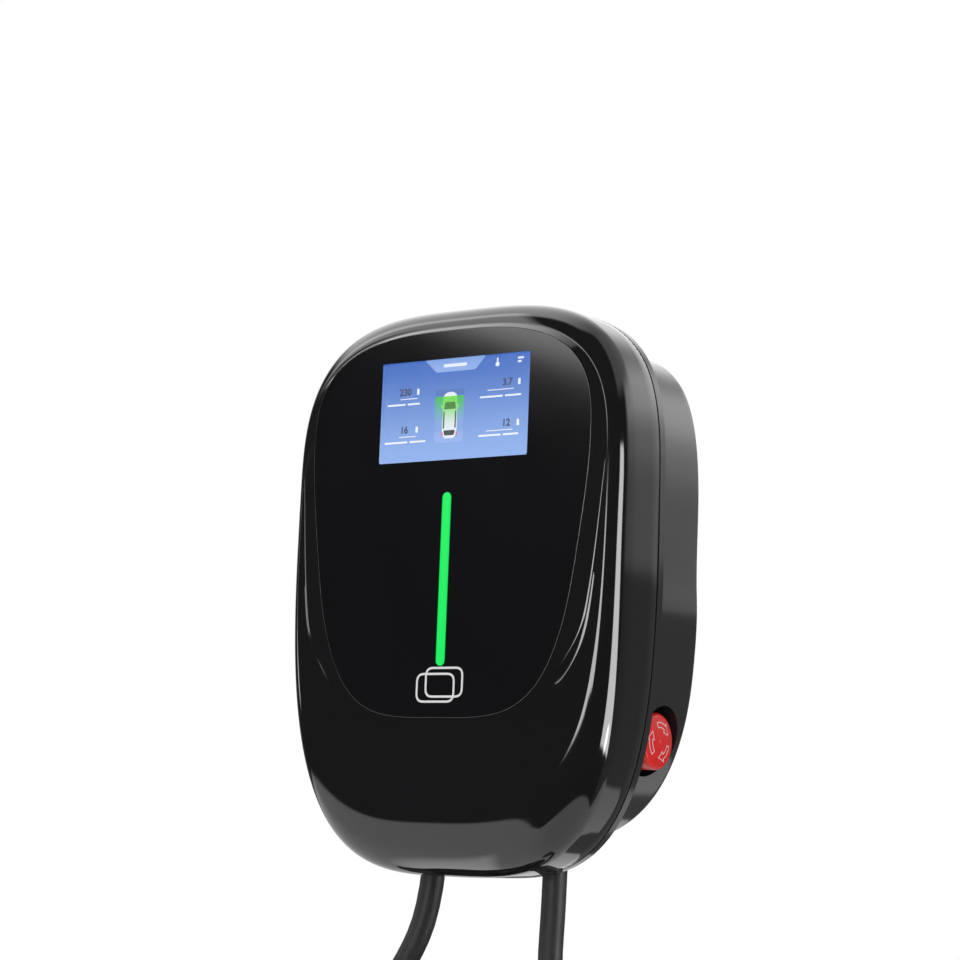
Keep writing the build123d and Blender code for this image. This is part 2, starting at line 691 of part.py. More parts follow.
def cores(x, label):
    """Bare cores from the cable's end up into the terminals."""
    with BuildPart() as wires:
        with BuildSketch(Plane.XY.offset(CABLE_START)):
            with Locations(*[(x + shift, -CABLE_OUT) for shift in core_places]):
                Circle(CORE_RADIUS)
        extrude(amount=MAIN_BOARD_BOTTOM + TERMINAL_ENTRY - SEAT - CABLE_START)
    save(wires, label)


def gland(x, prefix):
    """Cable gland: threaded body through the pad, lock nut inside, seal and nut below."""
    hex_bottom = PAD_BOTTOM - GLAND_HEX
    nut_top = hex_bottom - LOOSE
    nut_bottom = nut_top - GLAND_NUT
    seal_bottom = nut_bottom + GLAND_NUT_LIP + SLIP
    hex_radius = GLAND_ACROSS / 2
    bore_radius = GLAND_COLLAR_RADIUS - GLAND_COLLAR_WALL
    place = (x, -CABLE_OUT)
    with BuildPart() as gland_body:
        with BuildSketch(Plane.XY.offset(hex_bottom)):
            with Locations(place):
                RegularPolygon(hex_radius, 6, major_radius=False)
        extrude(amount=GLAND_HEX)
        with BuildSketch(Plane.XY.offset(PAD_BOTTOM)):
            with Locations(place):
                Circle(GLAND_THREAD_RADIUS)
        extrude(amount=GLAND_THREAD)
        with BuildSketch(Plane.XY.offset(hex_bottom)):
            with Locations(place):
                Circle(GLAND_COLLAR_RADIUS)
        extrude(amount=-GLAND_COLLAR)
        with BuildSketch(Plane.XY.offset(hex_bottom - GLAND_COLLAR)):
            with Locations(place):
                Circle(bore_radius)
        extrude(amount=GLAND_COLLAR, mode=Mode.SUBTRACT)
        with BuildSketch(Plane.XY.offset(hex_bottom)):
            with Locations(place):
                Circle(CABLE_RADIUS + LOOSE)
        extrude(amount=GLAND_HEX + GLAND_THREAD, mode=Mode.SUBTRACT)
    save(gland_body, f"{prefix}_gland_body")
    with BuildPart() as lock_nut:
        with BuildSketch(Plane.XY.offset(PAD_BOTTOM + PAD_THICKNESS)):
            with Locations(place):
                RegularPolygon(LOCK_NUT_ACROSS / 2, 6, major_radius=False)
                Circle(GLAND_THREAD_RADIUS + SLIP, mode=Mode.SUBTRACT)
        extrude(amount=LOCK_NUT)
    save(lock_nut, f"{prefix}_gland_lock_nut")
    with BuildPart() as seal:
        with BuildSketch(Plane.XY.offset(seal_bottom)):
            with Locations(place):
                Circle(bore_radius - SLIP)
                Circle(CABLE_RADIUS + SLIP, mode=Mode.SUBTRACT)
        extrude(amount=hex_bottom - SLIP - seal_bottom)
    save(seal, f"{prefix}_gland_seal")
    with BuildPart() as nut:
        with BuildSketch(Plane.XY.offset(nut_bottom)):
            with Locations(place):
                RegularPolygon(hex_radius, 6, major_radius=False)
                Circle(CABLE_RADIUS + LOOSE, mode=Mode.SUBTRACT)
        extrude(amount=GLAND_NUT)
        with BuildSketch(Plane.XY.offset(nut_bottom + GLAND_NUT_LIP)):
            with Locations(place):
                Circle(GLAND_COLLAR_RADIUS + SLIP)
        extrude(amount=GLAND_NUT, mode=Mode.SUBTRACT)
    save(nut, f"{prefix}_gland_nut")


for cable_x, cable_name in ((SUPPLY_X, "supply"), (CHARGE_X, "charge")):
    terminals(cable_x, f"{cable_name}_terminals")
    cores(cable_x, f"{cable_name}_cores")
    gland(cable_x, cable_name)

# Stop button: places along its axis, from the pocket floor outwards and inwards
collar_bottom = POCKET_FLOOR + STOP_GASKET
collar_top = collar_bottom + COLLAR_HEIGHT
cap_bottom = collar_top + STOP_TRAVEL + SPARE
barrel_end = POCKET_FLOOR - BARREL_LENGTH
stem_end = barrel_end - STEM_TAIL
contact_back = barrel_end - CONTACT_DEPTH
stop_axis = Axis((0, -STOP_OUT, STOP_Z), (1, 0, 0))
stop_section = Plane(origin=(0, -STOP_OUT, STOP_Z), x_dir=(1, 0, 0), z_dir=(0, -1, 0))

# Cap: a turned mushroom with a socket for the stem
with BuildPart() as estop_cap:
    with BuildSketch(stop_section):
        with BuildLine():
            edge_start = (CAP_FACE - CAP_DOME - CAP_EDGE, CAP_RADIUS)
            edge_end = (CAP_FACE - CAP_DOME, CAP_RADIUS - CAP_EDGE)
            Polyline((cap_bottom, STEM_RADIUS + SLIP), (cap_bottom, CAP_HUB_RADIUS),
                     (cap_bottom + CAP_SKIRT, CAP_RADIUS), edge_start)
            edge_middle = (edge_start[0] + CAP_EDGE * sin(pi / 4), edge_end[1] + CAP_EDGE * cos(pi / 4))
            ThreePointArc(edge_start, edge_middle, edge_end)
            dome_radius = (edge_end[1] ** 2 + CAP_DOME ** 2) / (2 * CAP_DOME)
            dome_half = asin(edge_end[1] / dome_radius) / 2
            dome_middle = (CAP_FACE - dome_radius * (1 - cos(dome_half)), dome_radius * sin(dome_half))
            ThreePointArc(edge_end, dome_middle, (CAP_FACE, 0))
            Polyline((CAP_FACE, 0), (cap_bottom + CAP_SOCKET, 0),
                     (cap_bottom + CAP_SOCKET, STEM_RADIUS + SLIP), (cap_bottom, STEM_RADIUS + SLIP))
        make_face()
    revolve(axis=stop_axis)
save(estop_cap, "estop_cap")


def turned(start, end, radius, bore, label):
    """Plain turned ring or rod on the stop button's axis."""
    with BuildPart() as piece:
        with BuildSketch(side(start)):
            Circle(radius)
            if bore:
                Circle(bore, mode=Mode.SUBTRACT)
        extrude(amount=end - start)
    save(piece, label)


turned(stem_end, cap_bottom + CAP_SOCKET - SLIP, STEM_RADIUS, 0, "estop_stem")
turned(POCKET_FLOOR, collar_bottom, COLLAR_RADIUS, BARREL_RADIUS + SEAT, "estop_gasket")
pocket_back = POCKET_FLOOR - CASE_WALL
turned(pocket_back - LOCK_RING, pocket_back, LOCK_RING_RADIUS, BARREL_RADIUS + SLIP, "estop_lock_ring")
turned(stem_end - CONTACT_PIN, stem_end, CONTACT_PIN_RADIUS, 0, "estop_contact_pin")

# Barrel with its collar, guiding the stem
with BuildPart() as estop_barrel:
    with BuildSketch(side(barrel_end)):
        Circle(BARREL_RADIUS)
    extrude(amount=collar_top - barrel_end)
    with BuildSketch(side(collar_bottom)):
        Circle(COLLAR_RADIUS)
    extrude(amount=COLLAR_HEIGHT)
    with BuildSketch(side(barrel_end)):
        Circle(STEM_RADIUS + SLIP)
    extrude(amount=collar_top - barrel_end, mode=Mode.SUBTRACT)
save(estop_barrel, "estop_barrel")

# Contact block behind the barrel, bored for the stem's end and the pin
with BuildPart() as estop_contact_block:
    with BuildSketch(side(contact_back)):
        Rectangle(CONTACT_WIDTH, CONTACT_HEIGHT)
    extrude(amount=CONTACT_DEPTH)
    with BuildSketch(side(barrel_end)):
        Circle(STEM_RADIUS + LOOSE)
    extrude(amount=-STEM_TAIL - STOP_TRAVEL - SPARE, mode=Mode.SUBTRACT)
    with BuildSketch(side(barrel_end)):
        Circle(CONTACT_PIN_RADIUS + SLIP)
    extrude(amount=-STEM_TAIL - CONTACT_PIN - STOP_TRAVEL - SPARE, mode=Mode.SUBTRACT)
save(estop_contact_block, "estop_contact_block")

# Cable routes below the glands, points chosen by hand
charge_coil_back = CHARGE_COIL_OUT - CHARGE_COIL_COLUMNS * CABLE_RADIUS
charge_coil_front = CHARGE_COIL_OUT + CHARGE_COIL_COLUMNS * CABLE_RADIUS
supply_coil_out = charge_coil_front + LOOSE + CABLE_RADIUS
CHARGE_ROUTE = [
    (CHARGE_X, -CABLE_OUT, CABLE_START),
    (CHARGE_X, -CABLE_OUT, -158),
    (30, -43.2, -203),
    (32.5, -39.2, -252),
    (35, -39.2, -298),
]
SUPPLY_ROUTE = [
    (SUPPLY_X, -CABLE_OUT, CABLE_START),
    (SUPPLY_X, -CABLE_OUT, -164),
    (-60, -supply_coil_out, -206),
    (-90, -supply_coil_out, -236),
]
CHARGE_TAIL_ROUTE = [
    (10, -12.8, -234),
    (37, -17, -241),
    (60.5, -27, -260),
    (77.5, -35, -284.5),
    (CONNECTOR_X, -CONNECTOR_OUT, -313),
    (CONNECTOR_X, -CONNECTOR_OUT, CONNECTOR_TOP),
]
SUPPLY_TAIL_ROUTE = [
    (-143, -supply_coil_out, -330),
    (-141, -supply_coil_out, -368),
    (-135, -supply_coil_out, -404),
]


def cable(route, label):
    """Tube of the cable's diameter along straight runs joined by the largest tangent arcs that fit."""
    points = [Vector(*p) for p in route]
    radii = []
    for before, corner, after in zip(points, points[1:], points[2:]):
        turn = (corner - before).get_angle(after - corner)
        shorter = min((corner - before).length, (after - corner).length)
        radii.append(BEND_SHARE * shorter / tan(radians(turn / 2)))
    print(label, "radii", [round(r, 1) for r in radii])
    with BuildPart() as tube:
        with BuildLine() as path:
            FilletPolyline(*points, radius=radii)
        with BuildSketch(Plane(origin=points[0], z_dir=points[1] - points[0])):
            Circle(CABLE_RADIUS)
        sweep(path=path.wire())
    length = path.wire().length
    filled = tube.part.volume / (pi * CABLE_RADIUS ** 2 * length)
    print(label, "length", round(length, 1), "volume", round(filled, 4))
    save(tube, label)


cable(CHARGE_ROUTE, "charge_cable")
cable(SUPPLY_ROUTE, "supply_cable")
cable(CHARGE_TAIL_ROUTE, "charge_tail")
cable(SUPPLY_TAIL_ROUTE, "supply_tail")

# Coils: rings with broken edges, about an axis square to the wall
coil_axis = Axis((COIL_X, 0, COIL_Z), (0, 1, 0))
coil_section = Plane(origin=(COIL_X, 0, COIL_Z), x_dir=(1, 0, 0), z_dir=(0, 0, 1))


def coil(out, layers, columns, label):
    with BuildPart() as ring:
        with BuildSketch(coil_section):
            with Locations((COIL_RADIUS, -out)):
                section = Rectangle(layers * CABLE_DIAMETER, columns * CABLE_DIAMETER)
            chamfer(section.vertices(), length=COIL_CHAMFER)
        revolve(axis=coil_axis)
    save(ring, label)


coil(CHARGE_COIL_OUT, CHARGE_COIL_LAYERS, CHARGE_COIL_COLUMNS, "charge_coil")
coil(supply_coil_out, SUPPLY_COIL_LAYERS, 1, "supply_coil")

# Ties round both coils
tie_arc = TIE_WIDTH / COIL_RADIUS * 180 / pi
tie_inner_radial = max(CHARGE_COIL_LAYERS, SUPPLY_COIL_LAYERS) * CABLE_DIAMETER + 2 * LOOSE
tie_front = supply_coil_out + CABLE_RADIUS + LOOSE
tie_back = charge_coil_back - LOOSE
with BuildPart() as coil_ties:
    for tie_angle in TIE_ANGLES:
        turned_section = coil_section.rotated((0, -tie_angle - tie_arc / 2, 0))
        with BuildSketch(turned_section):
            with Locations((COIL_RADIUS, -(tie_front + tie_back) / 2)):
                Rectangle(tie_inner_radial + 2 * TIE_THICKNESS, tie_front - tie_back + 2 * TIE_THICKNESS)
                Rectangle(tie_inner_radial, tie_front - tie_back, mode=Mode.SUBTRACT)
        revolve(axis=coil_axis, revolution_arc=tie_arc)
save(coil_ties, "coil_ties")

# Connector hanging on the end of the charging cable, its axis upright
boot_bottom = CONNECTOR_TOP - BOOT_LENGTH
grip_bottom = boot_bottom - GRIP_LENGTH
nose_bottom = grip_bottom - NOSE_LENGTH
connector_place = (CONNECTOR_X, -CONNECTOR_OUT)
with BuildPart() as connector_boot:
    with BuildSketch(Plane.XY.offset(CONNECTOR_TOP)):
        with Locations(connector_place):
            Circle(BOOT_RADIUS)
    with BuildSketch(Plane.XY.offset(boot_bottom)):
        with Locations(connector_place):
            Circle(BOOT_FOOT_RADIUS)
    loft()
save(connector_boot, "connector_boot")

# Grip: slim neck, oval hand hold and round shoulder
grip_sections = (
    (0.0, BOOT_FOOT_RADIUS, BOOT_FOOT_DEPTH / 2),
    (GRIP_HOLD_START, GRIP_WIDTH / 2, GRIP_DEPTH / 2),
    (GRIP_HOLD_END, GRIP_WIDTH / 2, GRIP_DEPTH / 2),
    (1.0, GRIP_SHOULDER / 2, GRIP_SHOULDER_DEPTH / 2),
)
with BuildPart() as connector_grip:
    for share, half_width, half_depth in grip_sections:
        with BuildSketch(Plane.XY.offset(boot_bottom - share * (GRIP_LENGTH - GRIP_SHOULDER_LENGTH))):
            with Locations(connector_place):
                Ellipse(half_width, half_depth)
    loft()
    with BuildSketch(Plane.XY.offset(grip_bottom)):
        with Locations(connector_place):
            Ellipse(GRIP_SHOULDER / 2, GRIP_SHOULDER_DEPTH / 2)
    extrude(amount=GRIP_SHOULDER_LENGTH)
save(connector_grip, "connector_grip")


def nose_block(bottom, radius, flat, length, hollow=None):
    """Round block with one flat side, on the connector's axis, hollowed from above by a smaller one."""
    with BuildPart() as block:
        with BuildSketch(Plane.XY.offset(bottom)):
            with Locations(connector_place):
                Circle(radius)
                with Locations((0, flat + radius)):
                    Rectangle(4 * radius, 2 * radius, mode=Mode.SUBTRACT)
        extrude(amount=length)
        if hollow:
            add(hollow, mode=Mode.SUBTRACT)
    return block


# Nose, and the soft cap that covers it until it is used
connector_nose = nose_block(nose_bottom, NOSE_RADIUS, NOSE_FLAT, NOSE_LENGTH)
save(connector_nose, "connector_nose")
cap_room = nose_block(nose_bottom - SLIP, NOSE_RADIUS + SLIP, NOSE_FLAT + SLIP, NOSE_LENGTH)
connector_cap = nose_block(nose_bottom - SLIP - CAP_WALL, NOSE_RADIUS + CAP_WALL, NOSE_FLAT + CAP_WALL,
                           NOSE_LENGTH + CAP_WALL - LOOSE, hollow=cap_room.part)
save(connector_cap, "connector_cap")

# Bare cores at the end of the supply lead
tail_end = Vector(*SUPPLY_TAIL_ROUTE[-1])
tail_heading = tail_end - Vector(*SUPPLY_TAIL_ROUTE[-2])
with BuildPart() as supply_ends:
    with BuildSketch(Plane(origin=tail_end, x_dir=(0, 1, 0), z_dir=tail_heading)):
        with PolarLocations(END_CORE_RING, len(core_places)):
            Circle(CORE_RADIUS)
    extrude(amount=END_CORE)
save(supply_ends, "supply_ends")
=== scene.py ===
"""Looks for a wall charger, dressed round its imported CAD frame."""
import json
from bisect import bisect_left
from math import copysign, cos, hypot, pi, radians, sin, sqrt

import bmesh
import bpy
from bpy.props import FloatProperty, FloatVectorProperty, PointerProperty
from mathutils import Matrix, Vector


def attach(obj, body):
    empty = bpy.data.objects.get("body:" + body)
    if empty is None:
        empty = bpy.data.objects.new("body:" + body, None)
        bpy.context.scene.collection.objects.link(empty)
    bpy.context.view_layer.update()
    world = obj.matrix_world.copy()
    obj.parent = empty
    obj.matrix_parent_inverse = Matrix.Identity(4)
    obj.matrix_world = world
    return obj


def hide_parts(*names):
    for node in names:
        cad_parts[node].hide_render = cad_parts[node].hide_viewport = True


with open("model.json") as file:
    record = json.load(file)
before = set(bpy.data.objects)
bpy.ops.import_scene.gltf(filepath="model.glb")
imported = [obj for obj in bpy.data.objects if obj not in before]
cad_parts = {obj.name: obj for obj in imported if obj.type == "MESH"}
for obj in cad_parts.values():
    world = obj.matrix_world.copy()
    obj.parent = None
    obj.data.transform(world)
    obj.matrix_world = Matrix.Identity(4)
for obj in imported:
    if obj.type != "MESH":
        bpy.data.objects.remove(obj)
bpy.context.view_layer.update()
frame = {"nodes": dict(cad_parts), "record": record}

bl_info = {
    "name": "Wall charger",
    "version": (1, 0, 0),
    "blender": (4, 5, 0),
    "location": "View3D > Sidebar > Wall charger",
    "description": "Dresses the frame of a wall charger with its cover, screen, cables and finishes",
    "category": "Object",
}

MM = 0.001

# Stack of the cover, in millimetres out from the wall
RIM = 67.8
SHOULDER = 90.2
CREST_OUT = 109.5
FRONT = 110.0
COVER_WALL = 3.0
FRONT_WALL = 6.0
PANEL_THICKNESS = 3.0
SCREEN_DEPTH = 3.2
SEAT = 0.15
PANEL_PROUD = 0.25
PANEL_HINGE = -80.0

# Outlines of the cover, each stepped in from the one outside it
COVER_WIDTH = 213.0
COVER_TOP = 150.0
COVER_BOTTOM = -150.6
CREST_SIDE_INSET = 7.8
CREST_TOP_INSET = 10.6
CHIN_RISE = 25.0
CREST_LAND = 1.0
BAND_SIDE = 8.0
BAND_TOP = 2.7
RIDGE_FOOT = -74.5
BAND_FOOT = 5.5
CREST_ANGLE = 75
OUTLINE_POINTS = 240
OUTLINE_SAMPLES = 400
RIDGE_TOP = COVER_TOP - CREST_TOP_INSET - CREST_LAND
PANEL_SLOPE = 2.4 / (RIDGE_TOP - PANEL_HINGE)
CREST_SLOPE = 5.5 / (RIDGE_TOP - PANEL_HINGE)
LEDGE = 6.0
COVER_SHARP_ANGLE = 40

# Crest and band of the cover: heights and widths in millimetres, the rest are shares
RIDGE_DRAW = 0.3
RIDGE_DRAW_FROM = -50
RIDGE_DRAW_OVER = 40
CHIN_FROM = -35
CHIN_OVER = 75
LEAST_CREST = 0.3
CREST_SHARE = 0.7
CREST_SEARCH_STEP = 0.5
FOLD = 0.6
FOLD_FOOT = -65
FOLD_TOP = 115
FOLD_FADE = 25
FOLD_WIDTH = 1.5
FOLD_SPREAD = 0.02
FOLD_SPREAD_BELOW = 60

# Openings of the panel all lie within these lines, in millimetres
OPENING_SIDE = 55
OPENING_FOOT = -55
OPENING_TOP = 124

# What the window shows of the screen, in millimetres on the panel
SCREEN_LEFT = -45.0
SCREEN_WIDTH = 93.3
SCREEN_TOP = 120.75
SCREEN_HEIGHT = 53.95
SCREEN_FOOT = SCREEN_TOP - SCREEN_HEIGHT
DIGIT_SIZE = 5.2
LIGHT_X = 1.0

# Stop button
STOP_OUT = 32.5
STOP_Z = -77.0
STOP_FACE = 89.0
STOP_DOME = 78.6

# Printed marks, in millimetres
MARK_SINK = -0.02
CARD_FRAMES = [(-13.3, 10.4, -60.7, -46.3), (-7.6, 15.7, -58.1, -43.2)]
CARD_ROUND = 4.2
CARD_LINE = 1.15
ARROW_STARTS = (105, 225, 345)
ARROW_LINE = 0.55
ARROW_OUTER = 9.9
ARROW_INNER = 7.3
ARROW_BARBS = (11.4, 5.8)
ARROW_TIP = 8.6
LEAST_MITRE = 0.4

# Skins of CAD nodes: distances in millimetres, angles in degrees
SKIN_MERGE = 0.002
SKIN_FLAT_ANGLE = 0.5
SKIN_SHARP_ANGLE = 32
SKIN_BEVEL_ANGLE = 15

# Cables, in millimetres
CABLE_RADIUS = 6.6
COIL_X = -50.0
COIL_Z = -318.0
COLUMN = {"front": -39.2, "middle": -26.0, "back": -12.8}
LAYER = {"outer": 98.2, "mid": 85.0, "inner": 71.8}
CHARGE_LEAD = [
    (34.5, -46, -118), (34.5, -46, -158), (30, -43.2, -203), (35.5, -40, -240), (44.6, -39.2, -281),
]
CHARGE_SLOTS = [
    ("front", "outer"), ("middle", "outer"), ("middle", "mid"), ("front", "mid"), ("front", "inner"),
    ("middle", "inner"), ("back", "inner"), ("back", "mid"), ("back", "outer"),
]
CHARGE_TAIL = [
    (10, -12.8, -234), (37, -17, -241), (60.5, -27, -260), (77.5, -35, -284.5), (86, -38, -313), (86, -38, -390),
]
SUPPLY_LEAD = [(-43.5, -46, -118), (-43.5, -46, -164), (-60, -52.7, -206)]
SUPPLY_OUT = -52.7
SUPPLY_OVER = [(-129.5, -60.5, -311), (-137, -66.6, -333.3), (-139, -67, -359.4)]
SUPPLY_TAIL = [(-139.5, -60.5, -377), (-137.5, -54, -391), (-135, -52.7, -406)]
SUPPLY_RADIUS = LAYER["mid"] + CABLE_RADIUS

# Turns of the coils, in degrees
COIL_STEP = 15
CHARGE_TURNED = 2805
CHARGE_FIRST_MOVE = 285
CHARGE_MOVE_EVERY = 320
CHARGE_MOVE_OVER = 150
SUPPLY_START = 117
SUPPLY_TURNED = 405
SUPPLY_MOVE_FROM = 235
SUPPLY_MOVE_OVER = 110

# Stage, in metres
CAMERA_PLACE = (0.80141, -1.20022, -0.12616)
CAMERA_RIGHT = (0.8160, 0.5771, 0.0327)
CAMERA_AHEAD = (-0.57592, 0.80654, 0.13343)
CAMERA_LENS = 97.54
FLOOR_HEIGHT = -0.56
FLOOR_HALF = 3.0
LAMP_SIZE = 0.9
LAMPS = {"key": ((-0.9, -1.5, 1.1), 14.0), "fill": ((1.6, -1.2, 0.3), 10.0)}
EVEN_LIGHT = 0.55
DARK_ROOM = 0.03

# Mouldings: colour, roughness and its spread, scale of the grain, its depth in millimetres, and tint of the cloud
MOULDINGS = {
    "component_black": ((0.04, 0.04, 0.045), 0.5, 0.2, 900.0, 0.02),
    "component_pale": ((0.5, 0.5, 0.48), 0.5, 0.2, 900.0, 0.02),
    "seal": ((0.012, 0.012, 0.013), 0.75, 0.2, 1200.0, 0.02),
    "gland": ((0.016, 0.016, 0.018), 0.42, 0.2, 1500.0, 0.02),
    "cable": ((0.02, 0.02, 0.021), 0.5, 0.15, 1800.0, 0.03),
    "connector": ((0.02, 0.02, 0.022), 0.42, 0.2, 1500.0, 0.04),
    "bracket_steel": ((0.04, 0.04, 0.042), 0.5, 0.15, 1400.0, 0.04),
    "core_wire": ((0.2, 0.09, 0.035), 0.4, 0.15, 900.0, 0.01),
    "circuit_board": ((0.02, 0.14, 0.06), 0.4, 0.2, 200.0, 0.02),
    "print_grey": ((0.72, 0.72, 0.73), 0.45, 0.1, 900.0, 0.002, 0.05),
    "print_pink": ((0.85, 0.55, 0.55), 0.45, 0.1, 900.0, 0.002, 0.05),
}

# Lit fields of the screen: the heights between which they pass from one colour to the other
GLOWS = {
    "screen_tab": (114, 121, (0.27, 0.43, 0.82), (0.2, 0.36, 0.78)),
    "screen_white": (SCREEN_FOOT, SCREEN_TOP, (0.95, 0.97, 1.0), (0.8, 0.88, 1.0)),
    "screen_dark": (SCREEN_FOOT, SCREEN_TOP, (0.02, 0.03, 0.09), (0.01, 0.02, 0.07)),
    "screen_green": (85, 101, (0.22, 0.38, 0.77), (0.04, 0.5, 0.09)),
    "screen_frame": (76, 105, (0.31, 0.46, 0.86), (0.055, 0.16, 0.5)),
    "screen_glass": (90, 94, (0.02, 0.035, 0.04), (0.035, 0.22, 0.012)),
    "screen_red": (78, 82, (0.75, 0.06, 0.05), (0.8, 0.1, 0.08)),
}


class ChargerSizes(bpy.types.PropertyGroup):
    """Sizes that a user may change"""
    crest_round: FloatProperty(name="Crest round", description="Rounding of the cover's crest, narrower where it must",
                               default=12.0 * MM, unit="LENGTH")
    rim_round: FloatProperty(name="Rim round", description="Rounding of the cover's rim", default=0.5 * MM,
                             unit="LENGTH")
    seat_round: FloatProperty(name="Seat round", description="Broken edge round the panel", default=0.4 * MM,
                              unit="LENGTH")
    print_height: FloatProperty(name="Print height", description="Thickness of printed marks", default=0.06 * MM,
                                unit="LENGTH")


class ChargerColours(bpy.types.PropertyGroup):
    """Colours that a user may change"""
    shell: FloatVectorProperty(name="Shell", description="Gloss black of the cover and the case", subtype="COLOR",
                               default=(0.008, 0.008, 0.009))
    light: FloatVectorProperty(name="Light bar", description="Green of the lit bar", subtype="COLOR",
                               default=(0.0, 0.84, 0.112))
    stop: FloatVectorProperty(name="Stop button", description="Red of the stop button", subtype="COLOR",
                              default=(0.74, 0.012, 0.011))
    screen_top: FloatVectorProperty(name="Screen top", description="Blue at the top of the screen", subtype="COLOR",
                                    default=(0.0, 0.105, 0.51))
    screen_foot: FloatVectorProperty(name="Screen foot", description="Blue at the foot of the screen",
                                     subtype="COLOR", default=(0.28, 0.455, 0.875))


def egg(turn, half_width, widest, top, bottom, n_top, n_bottom, taper=0.0, inset=0.0):
    """Point of a closed superellipse with its own top and bottom, narrowing below its widest line."""
    across, up = cos(turn), sin(turn)
    power = 2 / (n_top if up >= 0 else n_bottom)
    reach = top - inset - widest if up >= 0 else widest - bottom - inset
    z = widest + reach * copysign(abs(up) ** power, up)
    narrowing = 1 - taper * max(0.0, (widest - z) / (widest - bottom))
    return (half_width - inset) * narrowing * copysign(abs(across) ** power, across), z


def cover_outline(turn, inset=0.0):
    return egg(turn, COVER_WIDTH / 2, 42.0, COVER_TOP, COVER_BOTTOM, 3.37, 3.38, inset=inset)


def crest_outline(turn, inset=0.0):
    return egg(turn, COVER_WIDTH / 2 - CREST_SIDE_INSET, 60.0, COVER_TOP - CREST_TOP_INSET, COVER_BOTTOM + CHIN_RISE,
               2.95, 3.3, inset=inset)


def ridge_outline(turn):
    return egg(turn, COVER_WIDTH / 2 - CREST_SIDE_INSET - CREST_LAND, 60.0, RIDGE_TOP, RIDGE_FOOT, 2.95, 4.0,
               taper=0.15)


def panel_outline(turn, inset=0.0):
    return egg(turn, COVER_WIDTH / 2 - CREST_SIDE_INSET - CREST_LAND - BAND_SIDE, 75.0, RIDGE_TOP - BAND_TOP,
               RIDGE_FOOT + BAND_FOOT, 2.95, 4.0, taper=0.15, inset=inset)


def even_turns(count):
    """Turns at which the cover's outline has points an equal way apart."""
    dense = []
    for quarter in range(4):
        for step in range(OUTLINE_SAMPLES):
            share = step / OUTLINE_SAMPLES
            dense.append((quarter + share * share * (3 - 2 * share)) * pi / 2)
    walked = [0.0]
    places = [cover_outline(turn) for turn in dense] + [cover_outline(0.0)]
    for one, two in zip(places, places[1:]):
        walked.append(walked[-1] + hypot(two[0] - one[0], two[1] - one[1]))
    dense.append(2 * pi)
    turns = []
    for index in range(count):
        goal = walked[-1] * index / count
        after = max(1, bisect_left(walked, goal))
        share = (goal - walked[after - 1]) / (walked[after] - walked[after - 1])
        turns.append(dense[after - 1] + share * (dense[after] - dense[after - 1]))
    return turns


def leaning(x, z, out, slope):
    """Point on a plane that leans back above the panel's hinge line."""
    return Vector((x, -out + slope * (z - PANEL_HINGE), z)) * MM


def below_panel(x, z, depth):
    """Point behind the panel's face."""
    return leaning(x, z, FRONT, PANEL_SLOPE) + Vector((0, depth, -depth * PANEL_SLOPE)) * MM


def on_panel(place, height):
    """Point over the panel's face, for flat marks."""
    return below_panel(place[0], place[1], -height)


def on_stop(place, height):
    """Point over the stop button's domed face, measured from its axis."""
    drop = STOP_DOME - sqrt(STOP_DOME ** 2 - place.length_squared)
    return Vector((STOP_FACE - drop + height, -STOP_OUT + place[0], STOP_Z + place[1])) * MM


def ring_edges(bm, ring):
    return [bm.edges.get((one, two)) for one, two in zip(ring, ring[1:] + ring[:1])]


def ring_start(bm, places):
    """First ring of a shell, a circle moved onto its outline."""
    ring = bmesh.ops.create_circle(bm, cap_ends=False, segments=len(places), radius=1.0)["verts"]
    for vert, place in zip(ring, places):
        vert.co = place
    return ring


def ring_next(bm, ring, places):
    """Next ring, extruded from the last one and moved onto its outline."""
    made = bmesh.ops.extrude_edge_only(bm, edges=ring_edges(bm, ring))["geom"]
    new = {part for part in made if isinstance(part, bmesh.types.BMVert)}
    grown = []
    for vert, place in zip(ring, places):
        twin = next(edge.other_vert(vert) for edge in vert.link_edges if edge.other_vert(vert) in new)
        twin.co = place
        grown.append(twin)
    return grown


def cap(bm, ring):
    bmesh.ops.contextual_create(bm, geom=ring_edges(bm, ring))


def rounded(corners, radius, steps=5):
    """Closed path through flat corners, each rounded by the radius."""
    corners = [Vector(corner) for corner in corners]
    path = []
    for index, corner in enumerate(corners):
        before = corner + (corners[index - 1] - corner).normalized() * radius
        after = corner + (corners[(index + 1) % len(corners)] - corner).normalized() * radius
        for step in range(steps + 1):
            share = step / steps
            path.append(before.lerp(corner, share).lerp(corner.lerp(after, share), share))
    return path


def box_path(left, right, bottom, top, radius):
    return rounded([(left, bottom), (right, bottom), (right, top), (left, top)], radius)


def plate(bm, path, place, low, high):
    """Thin raised field inside a flat path."""
    first = ring_start(bm, [place(point, low) for point in path])
    last = ring_next(bm, first, [place(point, high) for point in path])
    cap(bm, first)
    cap(bm, last)


def ribbon(bm, path, width, place, low, high):
    """Thin raised line of even width round a closed flat path."""
    first = last = None
    for index, here in enumerate(path):
        ahead = (path[(index + 1) % len(path)] - here).normalized()
        behind = (here - path[index - 1]).normalized()
        along = (ahead + behind).normalized()
        across = Vector((-along.y, along.x))
        shift = across * (width / 2 / max(LEAST_MITRE, along.dot(ahead)))
        places = [place(here - shift, low), place(here - shift, high), place(here + shift, high),
                  place(here + shift, low)]
        if first is None:
            first = last = ring_start(bm, places)
        else:
            last = ring_next(bm, last, places)
    bmesh.ops.bridge_loops(bm, edges=ring_edges(bm, first) + ring_edges(bm, last))


